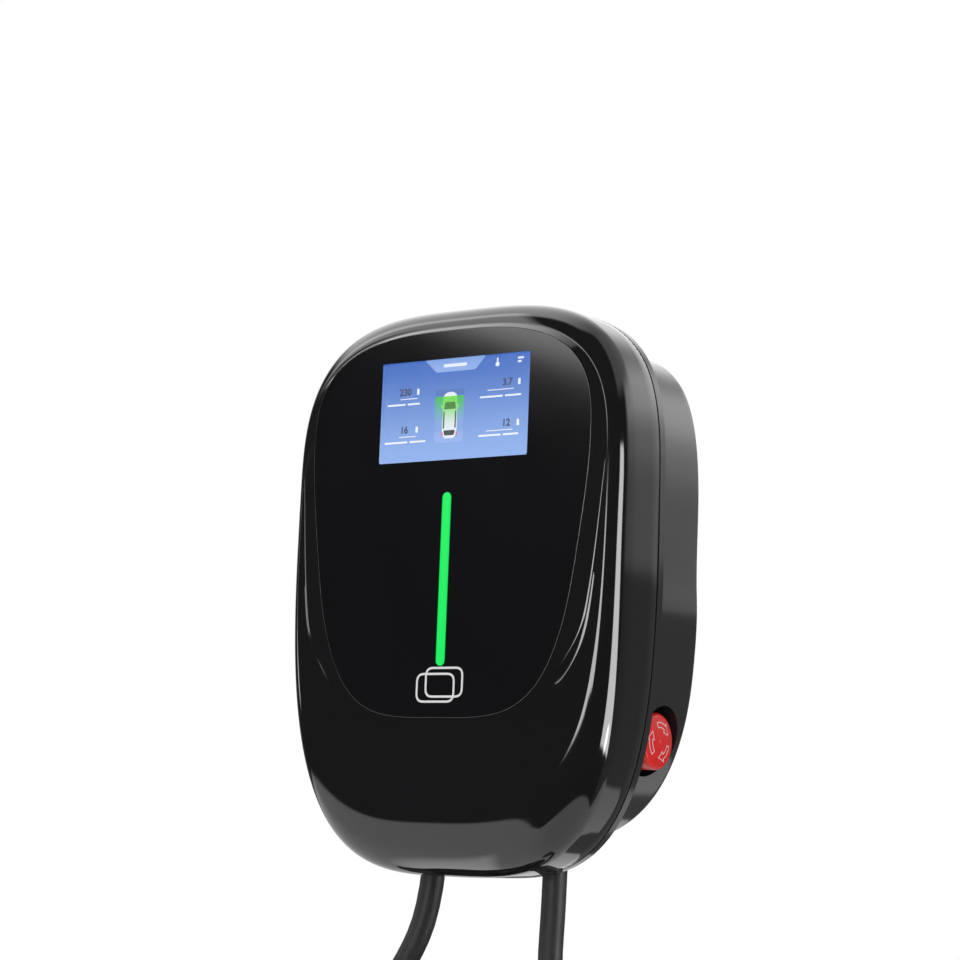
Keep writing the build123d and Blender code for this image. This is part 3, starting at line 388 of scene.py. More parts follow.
def smooth_faces(bm, angle):
    """Smooth shading that stays sharp at edges over the angle, in degrees."""
    for face in bm.faces:
        face.smooth = True
    for edge in bm.edges:
        edge.smooth = len(edge.link_faces) == 2 and edge.calc_face_angle(pi) < radians(angle)


def mesh_object(bm, name, material):
    """Object from a finished bmesh, which it frees."""
    mesh = bpy.data.meshes.new(name)
    bm.to_mesh(mesh)
    bm.free()
    made = bpy.data.objects.new(name, mesh)
    bpy.context.scene.collection.objects.link(made)
    made.data.materials.append(material)
    return made


def piece(bm, name, body, material):
    """Object from a finished bmesh, riding on its body."""
    made = mesh_object(bm, name, material)
    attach(made, body)
    return made


def flat_piece(bm, name, body, material):
    """Piece made of raised marks, its faces turned outwards."""
    bmesh.ops.recalc_face_normals(bm, faces=bm.faces)
    return piece(bm, name, body, material)


def skin(node, body="housing", bevel=0.0, material=None, chosen=lambda edge: True):
    """Smooth-shaded copy of a CAD node that stands for it, its chosen sharp edges broken by the bevel."""
    slot = next(row["material_slot"] for row in frame["record"]["subparts"] if row["node"] == node)
    bm = bmesh.new()
    bm.from_mesh(frame["nodes"][node].data)
    bmesh.ops.remove_doubles(bm, verts=bm.verts, dist=SKIN_MERGE * MM)
    if bevel:
        bmesh.ops.dissolve_limit(bm, angle_limit=radians(SKIN_FLAT_ANGLE), verts=bm.verts, edges=bm.edges)
        limit = radians(SKIN_SHARP_ANGLE)
        sharp = [edge for edge in bm.edges
                 if len(edge.link_faces) == 2 and edge.calc_face_angle() > limit and chosen(edge)]
        bmesh.ops.bevel(bm, geom=sharp, offset=bevel * MM, offset_type="OFFSET", segments=2, profile=0.5,
                        affect="EDGES", material=-1, clamp_overlap=True)
    smooth_faces(bm, SKIN_BEVEL_ANGLE if bevel else SKIN_SHARP_ANGLE)
    made = piece(bm, f"{node}_skin", body, material or FINISH[slot])
    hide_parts(node)
    return made


class Shade:
    """A shader socket that takes part in Python sums; each sum adds a Math node."""

    def __init__(self, tree, socket=None):
        self.tree = tree
        self.socket = socket

    def node(self, kind, out=0, settings=None, inputs=None):
        """Any node: its settings are set first, then the values or links of its sockets."""
        made = self.tree.nodes.new(kind)
        for key, value in (settings or {}).items():
            setattr(made, key, value)
        for key, value in (inputs or {}).items():
            if isinstance(value, Shade):
                self.tree.links.new(value.socket, made.inputs[key])
            else:
                made.inputs[key].default_value = value
        return Shade(self.tree, made.outputs[out])

    def sums(self, operation, one, two):
        return self.node("ShaderNodeMath", settings={"operation": operation}, inputs={0: one, 1: two})

    def __add__(self, other):
        return self.sums("ADD", self, other)

    def __sub__(self, other):
        return self.sums("SUBTRACT", self, other)

    def __rsub__(self, other):
        return self.sums("SUBTRACT", other, self)

    def __mul__(self, other):
        return self.sums("MULTIPLY", self, other)

    __radd__ = __add__
    __rmul__ = __mul__

    def axis(self, name):
        return self.node("ShaderNodeSeparateXYZ", out=name, inputs={0: self})

    def ramp(self, low, high, low_value=0.0, high_value=1.0):
        """Smooth step between two values."""
        return self.node("ShaderNodeMapRange", settings={"interpolation_type": "SMOOTHSTEP"}, inputs={
            "Value": self, "From Min": low, "From Max": high, "To Min": low_value, "To Max": high_value})

    def bump_over(self, low, high, soft):
        """One between two values, falling to nothing over the soft width on both sides."""
        return self.ramp(low - soft, low) * self.ramp(high, high + soft, 1.0, 0.0)

    def mix(self, low, high):
        """Colour by this share between two colours, either of which may be a link."""
        low, high = (colour if isinstance(colour, Shade) else (*colour, 1.0) for colour in (low, high))
        return self.node("ShaderNodeMix", out=2, settings={"data_type": "RGBA"}, inputs={0: self, 6: low, 7: high})

    def noise(self, scale, detail=3.0):
        return self.node("ShaderNodeTexNoise", inputs={"Vector": self, "Scale": scale, "Detail": detail})


def surface(name, build, **values):
    """Material with a Principled surface: constants on its sockets, and links from the build function."""
    material = bpy.data.materials.new(name)
    material.use_nodes = True
    tree = material.node_tree
    shader = tree.nodes["Principled BSDF"]
    for key, value in values.items():
        shader.inputs[key.replace("_", " ")].default_value = value
    place = Shade(tree).node("ShaderNodeTexCoord", out="Object")
    for key, link in build(place).items():
        tree.links.new(link.socket, shader.inputs[key])
    return material


def moulded(colour, roughness, spread, scale, depth, tint=0.15):
    """Builder for moulded plastic: a fine grain in its roughness, colour and bump."""
    def build(place):
        grain = place.noise(scale, 4.0)
        cloud = place.noise(scale / 25)
        paint = cloud.mix([c * (1 - tint) for c in colour], [min(1.0, c * (1 + tint)) for c in colour])
        bump = place.node("ShaderNodeBump", inputs={"Distance": depth * MM, "Strength": 1.0, "Height": grain})
        return {"Base Color": paint, "Roughness": (cloud - 0.5) * spread + roughness, "Normal": bump}
    return build


def painted_edge_highlight(build, colour, roughness):
    """Builder that paints a highlight onto the bevel of a sheet that faces the front: a paler colour there, and a
    rougher finish.
    """
    def with_painted_highlight(place):
        links = build(place)
        # Bevel faces only: their colour is made paler, a painted highlight along the sheet's edge.
        edge = place.node("ShaderNodeTexCoord", out="Normal").axis("Y").bump_over(-0.93, -0.36, 0.03)
        links["Base Color"] = edge.mix(links["Base Color"], colour)
        links["Roughness"] = links["Roughness"] + edge * roughness
        return links
    return with_painted_highlight


def woven(colour, scale):
    """Builder for webbing: crossing threads in its bump and colour."""
    def build(place):
        along, across = (place.node("ShaderNodeTexWave", settings={"bands_direction": axis},
                                    inputs={"Vector": place, "Scale": scale, "Distortion": 0.4})
                         for axis in ("X", "Z"))
        weave = along * across
        paint = weave.mix([c * 0.6 for c in colour], [c * 1.6 for c in colour])
        bump = place.node("ShaderNodeBump", inputs={"Distance": 0.2 * MM, "Strength": 0.8, "Height": weave})
        return {"Base Color": paint, "Roughness": 0.9 - weave * 0.2, "Normal": bump}
    return build


def glowing(low, high, low_colour, high_colour):
    """Builder for a lit field that passes from one colour to another between two heights, in millimetres."""
    def build(place):
        share = place.axis("Z").ramp(low * MM, high * MM)
        return {"Emission Color": share.mix(low_colour, high_colour)}
    return build


def lit(name, build):
    return surface(name, build, Emission_Strength=1.0, Base_Color=(0.004, 0.004, 0.004, 1.0), Roughness=0.25)


def light_bar_glow(colour):
    """Builder for the light bar: paler along its middle line."""
    def build(place):
        off = place.axis("X") - LIGHT_X * MM
        near = (off * off).ramp(0.0, 6.5 * MM * MM, 1.0, 0.0)
        dusk = place.axis("Z").ramp(-44 * MM, 52 * MM, 0.0, 1.0)
        pale = [min(1.0, c + 0.02) for c in colour]
        return {"Emission Color": (near * (0.55 + 0.45 * dusk)).mix(colour, pale)}
    return build


def car_paint(place):
    """Builder for the car on the screen: white, with the green of the charge over its middle."""
    height = place.axis("Z")
    charge = height.ramp(82 * MM, 99 * MM) * height.ramp(100.6 * MM, 100.8 * MM, 1.0, 0.0)
    return {"Emission Color": charge.mix((0.82, 0.88, 0.95), (0.16, 0.72, 0.06))}


FINISH = {}


class CHARGER_OT_finishes(bpy.types.Operator):
    """Finishes of all pieces, and of the frame's own pieces by their slots"""
    bl_idname = "charger.finishes"
    bl_label = "Finishes"

    def execute(self, context):
        colours = context.scene.charger_colours
        shell = tuple(colours.shell)
        panel = moulded((0.005, 0.005, 0.006), 0.07, 0.04, 500.0, 0.0005)
        FINISH.update({name: surface(name, moulded(*row)) for name, row in MOULDINGS.items()})
        FINISH.update({name: lit(name, glowing(*row)) for name, row in GLOWS.items()})
        FINISH.update({
            "gloss_shell": surface("gloss_shell", moulded(shell, 0.05, 0.03, 260.0, 0.001), IOR=1.7),
            "case": surface("case", moulded((0.014, 0.014, 0.015), 0.1, 0.04, 260.0, 0.001), IOR=1.85),
            # The panel's bevel is painted pale grey, a painted highlight along its edge.
            "panel_black": surface("panel_black", painted_edge_highlight(panel, (0.3, 0.3, 0.3), 0.2), IOR=1.7),
            "stop_red": surface("stop_red", moulded(tuple(colours.stop), 0.32, 0.1, 700.0, 0.005, 0.08)),
            "screw_steel": surface("screw_steel", moulded((0.5, 0.5, 0.51), 0.3, 0.15, 2500.0, 0.004), Metallic=1.0),
            "tie": surface("tie", woven((0.03, 0.03, 0.032), 260.0)),
            "window": surface("window", moulded((0.96, 0.97, 0.98), 0.02, 0.01, 300.0, 0.0002, 0.01),
                              Transmission_Weight=1.0, IOR=1.45),
            "light_bar": lit("light_bar", light_bar_glow(tuple(colours.light))),
            "screen": lit("screen", glowing(SCREEN_FOOT - 8, SCREEN_TOP + 8, colours.screen_foot,
                                            colours.screen_top)),
            "screen_car": lit("screen_car", car_paint),
        })
        for row in frame["record"]["subparts"]:
            node = frame["nodes"][row["node"]]
            node.data.materials.clear()
            node.data.materials.append(FINISH[row["material_slot"]])
        return {"FINISHED"}


class CHARGER_OT_stage(bpy.types.Operator):
    """Camera, floor, lamps and backdrop"""
    bl_idname = "charger.stage"
    bl_label = "Stage"

    def execute(self, context):
        scene = context.scene
        scene.view_settings.view_transform = "Standard"
        eye = bpy.data.cameras.new("camera")
        eye.lens = CAMERA_LENS
        eye.sensor_width = 36.0
        camera = bpy.data.objects.new("camera", eye)
        right = Vector(CAMERA_RIGHT).normalized()
        ahead = Vector(CAMERA_AHEAD).normalized()
        up = right.cross(ahead).normalized()
        turn = Matrix((right, up, -ahead)).transposed().to_4x4()
        camera.matrix_world = Matrix.Translation(CAMERA_PLACE) @ turn
        scene.collection.objects.link(camera)
        scene.camera = camera
        self.floor()
        self.world(scene)
        self.lamps(scene)
        return {"FINISHED"}

    def floor(self):
        bm = bmesh.new()
        bmesh.ops.create_grid(bm, x_segments=2, y_segments=2, size=FLOOR_HALF)
        bmesh.ops.translate(bm, verts=bm.verts, vec=(0, 0, FLOOR_HEIGHT))
        floor = mesh_object(bm, "floor", surface("floor", moulded((0.8, 0.8, 0.8), 0.6, 0.1, 20.0, 0.01, 0.01)))
        floor.visible_glossy = False

    def world(self, scene):
        """White to the camera, a dark room with light boxes to glossy rays, and even light to all others."""
        world = bpy.data.worlds.new("studio")
        world.use_nodes = True
        scene.world = world
        shade = Shade(world.node_tree)
        path = {out: shade.node("ShaderNodeLightPath", out=out)
                for out in ("Is Camera Ray", "Is Glossy Ray", "Is Transmission Ray")}
        heading = shade.node("ShaderNodeTexCoord", out="Generated")
        x, y, z = heading.axis("X"), heading.axis("Y"), heading.axis("Z")
        studio = DARK_ROOM + self.room(x, y, z) + self.boxes(x, y, z)
        glossy = path["Is Glossy Ray"]
        plain = path["Is Camera Ray"] + path["Is Transmission Ray"]
        level = plain + (1 - plain) * (glossy * studio + (1 - glossy) * EVEN_LIGHT)
        grey = shade.node("ShaderNodeCombineColor", inputs={"Red": level, "Green": level, "Blue": level})
        back_light = world.node_tree.nodes["Background"]
        world.node_tree.links.new(grey.socket, back_light.inputs["Color"])

    def room(self, x, y, z):
        """Pale floor with its edge, pale ceiling and the walls behind, for glossy rays."""
        right = x.ramp(0.0, 0.3)
        edge = x.ramp(-0.6, 0.05, -0.14, -0.62) + y.ramp(0.4, 0.8, 0.0, 0.28) * right
        floor = (edge - z).ramp(0.0, 0.03) * x.ramp(-0.3, 0.3, 0.9, 0.7)
        front_edge = x.ramp(-0.1, 0.3, -0.34, -0.08)
        floor = floor * (1 + z.ramp(-0.82, -0.7, 1.3, 0.0) * x.ramp(-0.5, -0.4, 1.0, 0.0))
        ceiling = z.ramp(0.42, 0.6) * (y - front_edge).ramp(-0.07, 0.07) * x.ramp(-0.4, 0.2, 2.1, 0.6)
        above = z.ramp(0.28, 0.4) * x.ramp(-0.5, -0.42, 1.9, 0.0) * y.ramp(-0.25, -0.1, 1.0, 0.0)
        right_wall = 0.12 + z.ramp(0.08, 0.1, 0.0, 0.36) + z.ramp(0.13, 0.2, 0.0, 0.3) + z.ramp(0.2, 0.36, 0.0, 0.9)
        left_wall = z.ramp(0.1, 0.35, 0.12, 1.4)
        low = z.ramp(0.42, 0.6, 1.0, 0.0) * (edge - z).ramp(0.0, 0.03, 1.0, 0.0)
        walls = y.ramp(0.3, 0.5) * low * (right * right_wall + (1 - right) * left_wall)
        return floor + ceiling + above + walls

    def boxes(self, x, y, z):
        """Light boxes that draw the streaks on the cover, for glossy rays."""
        off = y - (0.09 - 0.35 * z)
        half = 0.17 - 0.25 * z
        upright = (half * half - off * off).ramp(-0.006, 0.006) * x.ramp(0.5, 0.7) * z.bump_over(-0.33, 0.2, 0.03) * 7
        lamp = (0.923 * x + 0.241 * y - 0.301 * z).ramp(0.9975, 0.999) * 9
        front = (x - 1.2 * z - z.ramp(0.05, 0.16, 0.0, 0.22)).ramp(-0.25, -0.21) * x.ramp(0.38, 0.42, 1.0, 0.0) * (
            y.ramp(-0.85, -0.8, 1.0, 0.0) * z.bump_over(-0.05, 0.15, 0.04) * 6.5)
        left = x.ramp(-0.86, -0.82, 1.0, 0.0) * y.bump_over(-0.3, -0.08, 0.03) * z.bump_over(0.0, 0.14, 0.03) * 3
        pane = (z + 0.3 * x).ramp(0.0335, 0.0365) * z.ramp(0.25, 0.3, 1.0, 0.0) * x.bump_over(-0.58, -0.5, 0.03) * (
            y.ramp(-0.7, -0.6, 2.8, 0.0))
        return upright + lamp + front + left + pane

    def lamps(self, scene):
        for name, (place, power) in LAMPS.items():
            data = bpy.data.lights.new(name, "AREA")
            data.size = LAMP_SIZE
            data.energy = power
            lamp = bpy.data.objects.new(name, data)
            lamp.location = place
            lamp.rotation_euler = (-Vector(place)).to_track_quat("-Z", "Y").to_euler()
            lamp.visible_glossy = False
            scene.collection.objects.link(lamp)


def cable_curve(name, places):
    """Round cable on one smooth NURBS line through the pull of its points."""
    data = bpy.data.curves.new(name, "CURVE")
    data.dimensions = "3D"
    data.bevel_depth = CABLE_RADIUS * MM
    data.bevel_resolution = 7
    data.resolution_u = 6
    data.use_fill_caps = True
    spline = data.splines.new("NURBS")
    spline.points.add(len(places) - 1)
    for point, place in zip(spline.points, places):
        point.co = (*[c * MM for c in place], 1.0)
    spline.order_u = 3
    spline.use_endpoint_u = True
    made = bpy.data.objects.new(name, data)
    bpy.context.scene.collection.objects.link(made)
    made.data.materials.append(FINISH["cable"])
    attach(made, "housing")
    return made


def ease(share):
    return (1 - cos(pi * min(1.0, max(0.0, share)))) / 2


def coil_place(angle, radius, depth):
    """Point of a coil at an angle in degrees, a little outside its line because the curve runs inside its points."""
    reach = radius / cos(radians(COIL_STEP / 2))
    return COIL_X + reach * cos(radians(angle)), depth, COIL_Z + reach * sin(radians(angle))


class CHARGER_OT_cables(bpy.types.Operator):
    """Charging cable with its connector, supply lead with its bare ends, and the ties round their coils"""
    bl_idname = "charger.cables"
    bl_label = "Cables"

    def execute(self, context):
        on_charge = [skin(node) for node in ("connector_boot", "connector_grip", "connector_nose")]
        on_charge.append(skin("connector_cap", bevel=0.8))
        on_charge.append(skin("coil_ties", bevel=0.35))
        charge = cable_curve("charging_cable", CHARGE_LEAD + self.charge_coil() + CHARGE_TAIL)
        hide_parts("charge_cable", "charge_coil", "charge_tail")
        supply = cable_curve("supply_lead", SUPPLY_LEAD + self.supply_coil() + SUPPLY_OVER + SUPPLY_TAIL)
        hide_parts("supply_cable", "supply_coil", "supply_tail")
        skin("supply_ends", bevel=0.3)
        return {"FINISHED"}

    def charge_coil(self):
        """Turns that move one by one into the slot that the next turn has left."""
        slots = [Vector((LAYER[layer], COLUMN[column])) for column, layer in CHARGE_SLOTS]
        places = []
        for angle in range(0, CHARGE_TURNED + 1, COIL_STEP):
            slot = slots[0].copy()
            for index in range(1, len(slots)):
                middle = CHARGE_FIRST_MOVE + (index - 1) * CHARGE_MOVE_EVERY
                share = (angle - middle) / CHARGE_MOVE_OVER + 0.5
                slot += (slots[index] - slots[index - 1]) * ease(share)
            places.append(coil_place(-angle, slot[0], slot[1]))
        return places

    def supply_coil(self):
        """One outer turn that moves inside and then comes out over itself."""
        places = []
        for angle in range(0, SUPPLY_TURNED + 1, COIL_STEP):
            share = (angle - SUPPLY_MOVE_FROM) / SUPPLY_MOVE_OVER
            radius = SUPPLY_RADIUS - 2 * CABLE_RADIUS * ease(share)
            places.append(coil_place(SUPPLY_START + angle, radius, SUPPLY_OUT))
        return places


class CHARGER_OT_cover(bpy.types.Operator):
    """Moulded cover: upright flank, rounded shoulder, ridge, and the seat of its panel"""
    bl_idname = "charger.cover"
    bl_label = "Cover"

    def execute(self, context):
        sizes = context.scene.charger_sizes
        turns = even_turns(OUTLINE_POINTS)
        rim = sizes.rim_round / MM
        bm = bmesh.new()

        def level(out, inset):
            return [leaning(*cover_outline(turn, inset), out, 0.0) for turn in turns]

        def behind(outline, depth, inset):
            return [below_panel(*outline(turn, inset), depth) for turn in turns]

        first = ring_start(bm, level(RIM, COVER_WALL))
        last = ring_next(bm, first, level(RIM, rim))
        last = ring_next(bm, last, level(RIM + rim * 0.3, rim * 0.3))
        for share in (0.0, 0.33, 0.66):
            last = ring_next(bm, last, level(RIM + rim + (SHOULDER - RIM - rim) * share, 0.0))
        profiles = [self.profile(turn, sizes) for turn in turns]
        for places in zip(*profiles):
            last = ring_next(bm, last, places)
        last = ring_next(bm, last, behind(panel_outline, PANEL_THICKNESS, -SEAT))
        last = ring_next(bm, last, behind(panel_outline, PANEL_THICKNESS, LEDGE))
        last = ring_next(bm, last, behind(panel_outline, FRONT_WALL, LEDGE))
        last = ring_next(bm, last, behind(crest_outline, FRONT_WALL, COVER_WALL))
        for angle in (62, 45, 25, 0):
            last = ring_next(bm, last, [self.shoulder(turn, angle, FRONT - FRONT_WALL, PANEL_SLOPE, COVER_WALL)
                                        for turn in turns])
        bmesh.ops.bridge_loops(bm, edges=ring_edges(bm, last) + ring_edges(bm, first))
        bmesh.ops.recalc_face_normals(bm, faces=bm.faces)
        smooth_faces(bm, COVER_SHARP_ANGLE)
        cover = piece(bm, "cover", "housing", FINISH["gloss_shell"])
        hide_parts("front_cover")
        skin("front_panel", bevel=0.4, chosen=self.outside)
        return {"FINISHED"}

    def outside(self, edge):
        """Edge of the panel's outline, not of its openings."""
        return any(abs(vert.co.x) > OPENING_SIDE * MM or not OPENING_FOOT * MM < vert.co.z < OPENING_TOP * MM
                   for vert in edge.verts)

    def shoulder(self, turn, angle, top, slope, inset=0.0):
        """Point on the way from the cover's outline to its crest."""
        rise = sin(radians(angle)) / sin(radians(CREST_ANGLE))
        creep = (1 - cos(radians(angle))) / (1 - cos(radians(CREST_ANGLE)))
        flat = Vector(cover_outline(turn, inset)).lerp(Vector(crest_outline(turn, inset)), creep)
        return leaning(*flat, SHOULDER + (top - SHOULDER) * rise, slope * rise)

    def profile(self, turn, sizes):
        """Points from the flank over the rounded crest and up the band to the panel's seat."""
        crest = self.shoulder(turn, CREST_ANGLE, CREST_OUT, CREST_SLOPE)
        ridge = leaning(*ridge_outline(turn), CREST_OUT, CREST_SLOPE)
        ridge = ridge.lerp(crest, RIDGE_DRAW * ease((ridge.z / MM - RIDGE_DRAW_FROM) / RIDGE_DRAW_OVER))
        edge = below_panel(*panel_outline(turn, -SEAT), PANEL_PROUD)
        chin = ease((CHIN_FROM - crest.z / MM) / CHIN_OVER)
        reach = min(max(sizes.crest_round * chin, LEAST_CREST * MM), CREST_SHARE * (ridge - crest).length)
        angle = CREST_ANGLE
        start = crest
        while (start - crest).length < reach:
            angle -= CREST_SEARCH_STEP
            start = self.shoulder(turn, angle, CREST_OUT, CREST_SLOPE)
        end = crest + (ridge - crest).normalized() * reach
        places = [self.shoulder(turn, angle * step / 24, CREST_OUT, CREST_SLOPE) for step in range(25)]
        for step in range(1, 11):
            share = step / 10
            places.append(start.lerp(crest, share).lerp(crest.lerp(end, share), share))
        places += [end.lerp(ridge, share) for share in (0.33, 0.66, 1.0)]
        broken = 1 - sizes.seat_round / (edge - ridge).length
        places += self.band(ridge, edge, broken)
        places.append(below_panel(*panel_outline(turn, -SEAT), PANEL_PROUD + sizes.seat_round / MM))
        return places

    def band(self, ridge, edge, broken):
        """Points up the band, which folds sharply off the ridge at its sides and is plain at the top and foot."""
        height = ridge.z / MM
        fold = ease((height - FOLD_FOOT) / FOLD_FADE) * ease((FOLD_TOP - height) / FOLD_FADE)
        lift = leaning(edge.x / MM, edge.z / MM, CREST_OUT, CREST_SLOPE).y - edge.y
        width = hypot(edge.x - ridge.x, edge.z - ridge.z)
        folded = min(0.8 * width, (FOLD_WIDTH + FOLD_SPREAD * max(0.0, FOLD_SPREAD_BELOW - height)) * MM)
        places = []
        for share in (0.15, 0.3, 0.45, 0.6, 0.8, 1.0, 1.3, 2.0, 3.0):
            along = share * folded
            if along > 0.9 * width:
                along = width * (0.9 + 0.01 * share)
            if along < folded:
                risen = FOLD * (along - along * along / (2 * folded))
            else:
                start = FOLD * folded / 2
                risen = start + (lift - start) * (along - folded) / (width - folded)
            place = ridge.lerp(edge, along / width)
            place.y -= fold * (risen - lift * along / width)
            places.append(place)
        return places + [ridge.lerp(edge, broken)]


class CHARGER_OT_case(bpy.types.Operator):
    """Rear case, seam, bracket and cable glands"""
    bl_idname = "charger.case"
    bl_label = "Case"

    def execute(self, context):
        skin("rear_case", material=FINISH["case"])
        skin("cover_gasket")
        skin("wall_bracket", bevel=0.3)
        for cable in ("supply", "charge"):
            skin(f"{cable}_gland_body", bevel=0.3)
            skin(f"{cable}_gland_nut", bevel=0.4)
        return {"FINISHED"}


def on_screen(u, v):
    """Flat place on the panel of a share of the screen's width and of its height from the top."""
    return Vector((SCREEN_LEFT + SCREEN_WIDTH * u, SCREEN_TOP - SCREEN_HEIGHT * v))


class CHARGER_OT_screen(bpy.types.Operator):
    """Picture on the screen: a title tab, four readings with bars for their names, and a car seen from above"""
    bl_idname = "charger.screen"
    bl_label = "Screen"

    # Number and its middle, across and down; the unit's middle; ends of the line; ends and height of the name
    READINGS = [
        ("230", 0.155, 0.3, 0.245, 0.12, 0.24, 0.02, 0.27, 0.42),
        ("16", 0.155, 0.68, 0.245, 0.12, 0.24, 0.01, 0.32, 0.8),
        ("3.7", 0.865, 0.28, 0.945, 0.73, 0.91, 0.67, 0.97, 0.41),
        ("12", 0.865, 0.68, 0.945, 0.73, 0.91, 0.67, 0.96, 0.79),
    ]

    def execute(self, context):
        step = context.scene.charger_sizes.print_height / MM
        self.low = MARK_SINK - SCREEN_DEPTH
        self.tops = [-SCREEN_DEPTH + step * layer * 0.5 for layer in range(1, 6)]
        self.fields()
        self.bars()
        self.numbers()
        self.car()
        return {"FINISHED"}

    def box(self, bm, u0, u1, v0, v1, radius, layer):
        low, high = on_screen(u0, v1), on_screen(u1, v0)
        plate(bm, box_path(low.x, high.x, low.y, high.y, radius), on_panel, self.low, self.tops[layer])

    def put(self, bm, name, finish):
        flat_piece(bm, name, "housing", FINISH[finish])

    def fields(self):
        bm = bmesh.new()
        corners = [on_screen(u, v) for u, v in ((0.37, 0.125), (0.64, 0.125), (0.71, 0.0), (0.29, 0.0))]
        plate(bm, rounded(corners, 0.8), on_panel, self.low, self.tops[0])
        self.put(bm, "screen_tab", "screen_tab")
        bm = bmesh.new()
        self.box(bm, 0.37, 0.57, 0.37, 0.72, 0.6, 1)
        self.put(bm, "screen_band", "screen_green")
        bm = bmesh.new()
        self.box(bm, 0.37, 0.57, 0.3, 0.83, 0.6, 0)
        self.put(bm, "screen_frame", "screen_frame")

    def bars(self):
        bm = bmesh.new()
        self.box(bm, 0.42, 0.58, 0.048, 0.08, 0.4, 2)
        self.box(bm, 0.787, 0.797, 0.03, 0.075, 0.4, 1)
        self.box(bm, 0.779, 0.805, 0.075, 0.115, 0.9, 2)
        self.box(bm, 0.93, 0.97, 0.04, 0.06, 0.4, 1)
        self.box(bm, 0.93, 0.955, 0.075, 0.095, 0.4, 1)
        for _, _, middle, unit, line_start, line_end, name_start, name_end, name_v in self.READINGS:
            self.box(bm, unit - 0.008, unit + 0.008, middle - 0.03, middle + 0.03, 0.3, 1)
            self.box(bm, line_start, line_end, middle + 0.062, middle + 0.07, 0.15, 1)
            split = name_start + (name_end - name_start) * 0.58
            self.box(bm, name_start + 0.01, split - 0.008, name_v - 0.009, name_v + 0.009, 0.25, 1)
            self.box(bm, split + 0.008, name_end - 0.01, name_v - 0.009, name_v + 0.009, 0.25, 1)
        self.put(bm, "screen_bars", "screen_white")

    def numbers(self):
        bm = bmesh.new()
        for text, u, v, *_ in self.READINGS:
            data = bpy.data.curves.new("reading", "FONT")
            data.body = text
            data.size = DIGIT_SIZE
            data.align_x = "CENTER"
            data.align_y = "CENTER"
            data.extrude = 0.03
            data.offset = 0.14
            letters = bpy.data.objects.new("reading", data)
            mesh = bpy.data.meshes.new_from_object(letters)
            spot = on_screen(u, v)
            for vert in mesh.vertices:
                vert.co = on_panel(Vector((spot.x + vert.co.x, spot.y + vert.co.y)), self.tops[1] + vert.co.z)
            bm.from_mesh(mesh)
            bpy.data.objects.remove(letters)
            bpy.data.curves.remove(data)
            bpy.data.meshes.remove(mesh)
        self.put(bm, "screen_numbers", "screen_dark")

    def car(self):
        bm = bmesh.new()
        nose, tail = on_screen(0.475, 0.33), on_screen(0.475, 0.79)
        half = 0.052 * SCREEN_WIDTH
        side = [(0.35, 0.0), (0.8, 0.05), (0.97, 0.14), (1.0, 0.3), (0.96, 0.5), (1.0, 0.72), (0.95, 0.9), (0.6, 1.0)]
        outline = [Vector((nose.x + half * across, nose.y + (tail.y - nose.y) * along)) for across, along in side]
        outline += [Vector((2 * nose.x - point.x, point.y)) for point in reversed(outline)]
        plate(bm, rounded(outline, 0.8, steps=4), on_panel, self.low, self.tops[3])
        self.box(bm, 0.413, 0.424, 0.455, 0.485, 0.25, 3)
        self.box(bm, 0.526, 0.537, 0.455, 0.485, 0.25, 3)
        self.put(bm, "screen_car", "screen_car")
        bm = bmesh.new()
        for u in (0.423, 0.521):
            self.box(bm, u, u + 0.008, 0.725, 0.765, 0.2, 4)
        self.put(bm, "screen_car_lamps", "screen_red")
        bm = bmesh.new()
        for spans, top, foot in (((0.34, 0.42), 0.43, 0.5), ((0.4, 0.33), 0.71, 0.76)):
            corners = [on_screen(0.475 + sign * span * 0.1, v)
                       for sign, span, v in ((-1, spans[0], top), (-1, spans[1], foot), (1, spans[1], foot),
                                             (1, spans[0], top))]
            plate(bm, rounded(corners, 0.5), on_panel, self.low, self.tops[4])
        for u in (0.43, 0.511):
            self.box(bm, u, u + 0.009, 0.52, 0.69, 0.25, 4)
        self.put(bm, "screen_car_glass", "screen_glass")


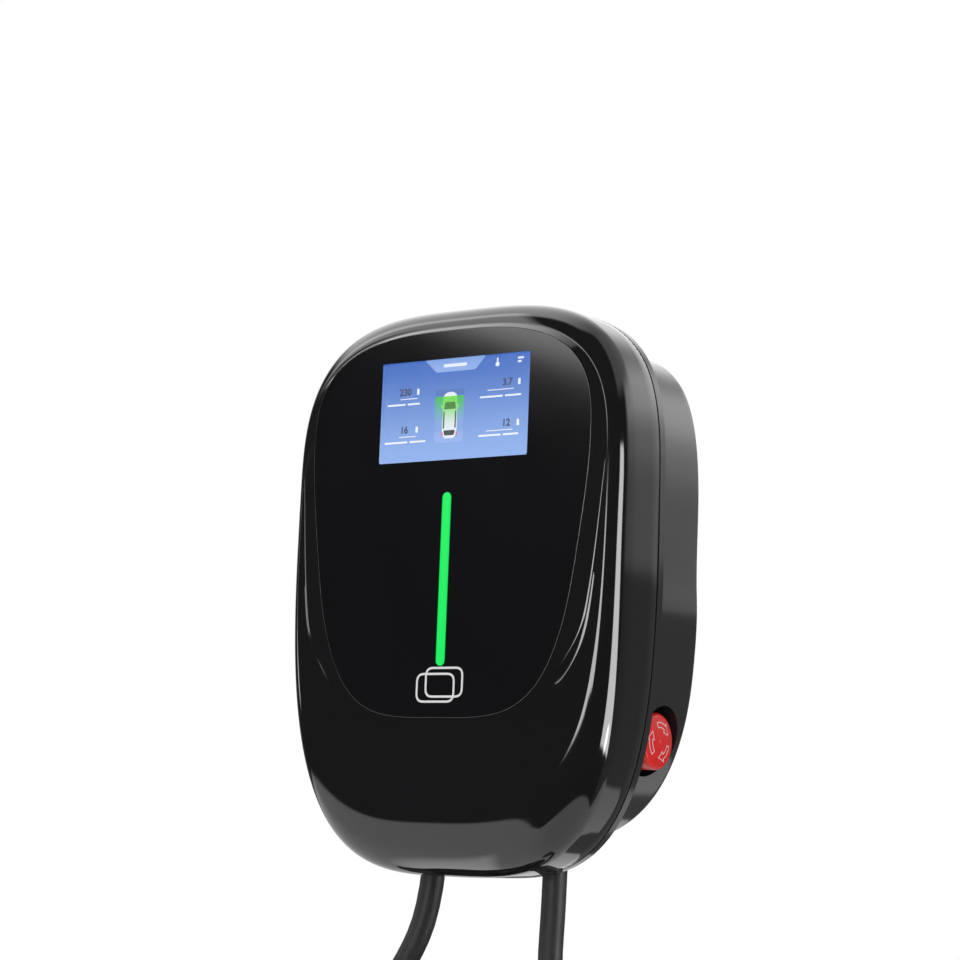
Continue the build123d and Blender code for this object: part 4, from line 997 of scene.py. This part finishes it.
class CHARGER_OT_print(bpy.types.Operator):
    """Card mark on the panel and turning arrows on the stop button"""
    bl_idname = "charger.print"
    bl_label = "Print"

    def execute(self, context):
        height = context.scene.charger_sizes.print_height / MM
        bm = bmesh.new()
        for index, sides in enumerate(CARD_FRAMES):
            ribbon(bm, box_path(*sides, CARD_ROUND), CARD_LINE, on_panel, MARK_SINK, height * (1 + 0.2 * index))
        flat_piece(bm, "card_mark", "housing", FINISH["print_grey"])
        bm = bmesh.new()
        for start in ARROW_STARTS:
            ribbon(bm, self.arrow(start), ARROW_LINE, on_stop, MARK_SINK, height)
        flat_piece(bm, "stop_arrows", "estop_head", FINISH["print_pink"])
        return {"FINISHED"}

    def arrow(self, start):
        """Outline of an arrow bent round the button's axis."""
        def polar(radius, angle):
            return Vector((radius * cos(radians(angle)), radius * sin(radians(angle))))
        path = [polar(ARROW_OUTER, start - step * 10) for step in range(6)]
        path += [polar(ARROW_BARBS[0], start - 50), polar(ARROW_TIP, start - 80), polar(ARROW_BARBS[1], start - 50)]
        path += [polar(ARROW_INNER, start - step * 10) for step in range(5, -1, -1)]
        return path


class CHARGER_OT_stop(bpy.types.Operator):
    """Stop button's head, collar and guide"""
    bl_idname = "charger.stop"
    bl_label = "Stop button"

    def execute(self, context):
        skin("estop_cap", body="estop_head")
        skin("estop_barrel")
        skin("estop_stem", body="estop_plunger")
        return {"FINISHED"}


class CHARGER_PT_panel(bpy.types.Panel):
    """Sizes, colours and pieces of the wall charger"""
    bl_idname = "CHARGER_PT_panel"
    bl_label = "Wall charger"
    bl_space_type = "VIEW_3D"
    bl_region_type = "UI"
    bl_category = "Wall charger"

    def draw(self, context):
        for group in (context.scene.charger_sizes, context.scene.charger_colours):
            for key in group.__annotations__:
                self.layout.prop(group, key)
        for operator in OPERATORS:
            self.layout.operator(operator.bl_idname)


OPERATORS = (CHARGER_OT_finishes, CHARGER_OT_stage, CHARGER_OT_cables, CHARGER_OT_cover, CHARGER_OT_case,
             CHARGER_OT_screen, CHARGER_OT_print, CHARGER_OT_stop)
CLASSES = (ChargerSizes, ChargerColours, *OPERATORS, CHARGER_PT_panel)


def register():
    for cls in CLASSES:
        bpy.utils.register_class(cls)
    bpy.types.Scene.charger_sizes = PointerProperty(type=ChargerSizes)
    bpy.types.Scene.charger_colours = PointerProperty(type=ChargerColours)


def unregister():
    del bpy.types.Scene.charger_colours
    del bpy.types.Scene.charger_sizes
    for cls in reversed(CLASSES):
        bpy.utils.unregister_class(cls)


def main():
    register()
    bpy.ops.charger.finishes()
    bpy.ops.charger.stage()
    bpy.ops.charger.cables()
    bpy.ops.charger.cover()
    bpy.ops.charger.case()
    bpy.ops.charger.screen()
    bpy.ops.charger.print()
    bpy.ops.charger.stop()


if __name__ == "__main__":
    main()
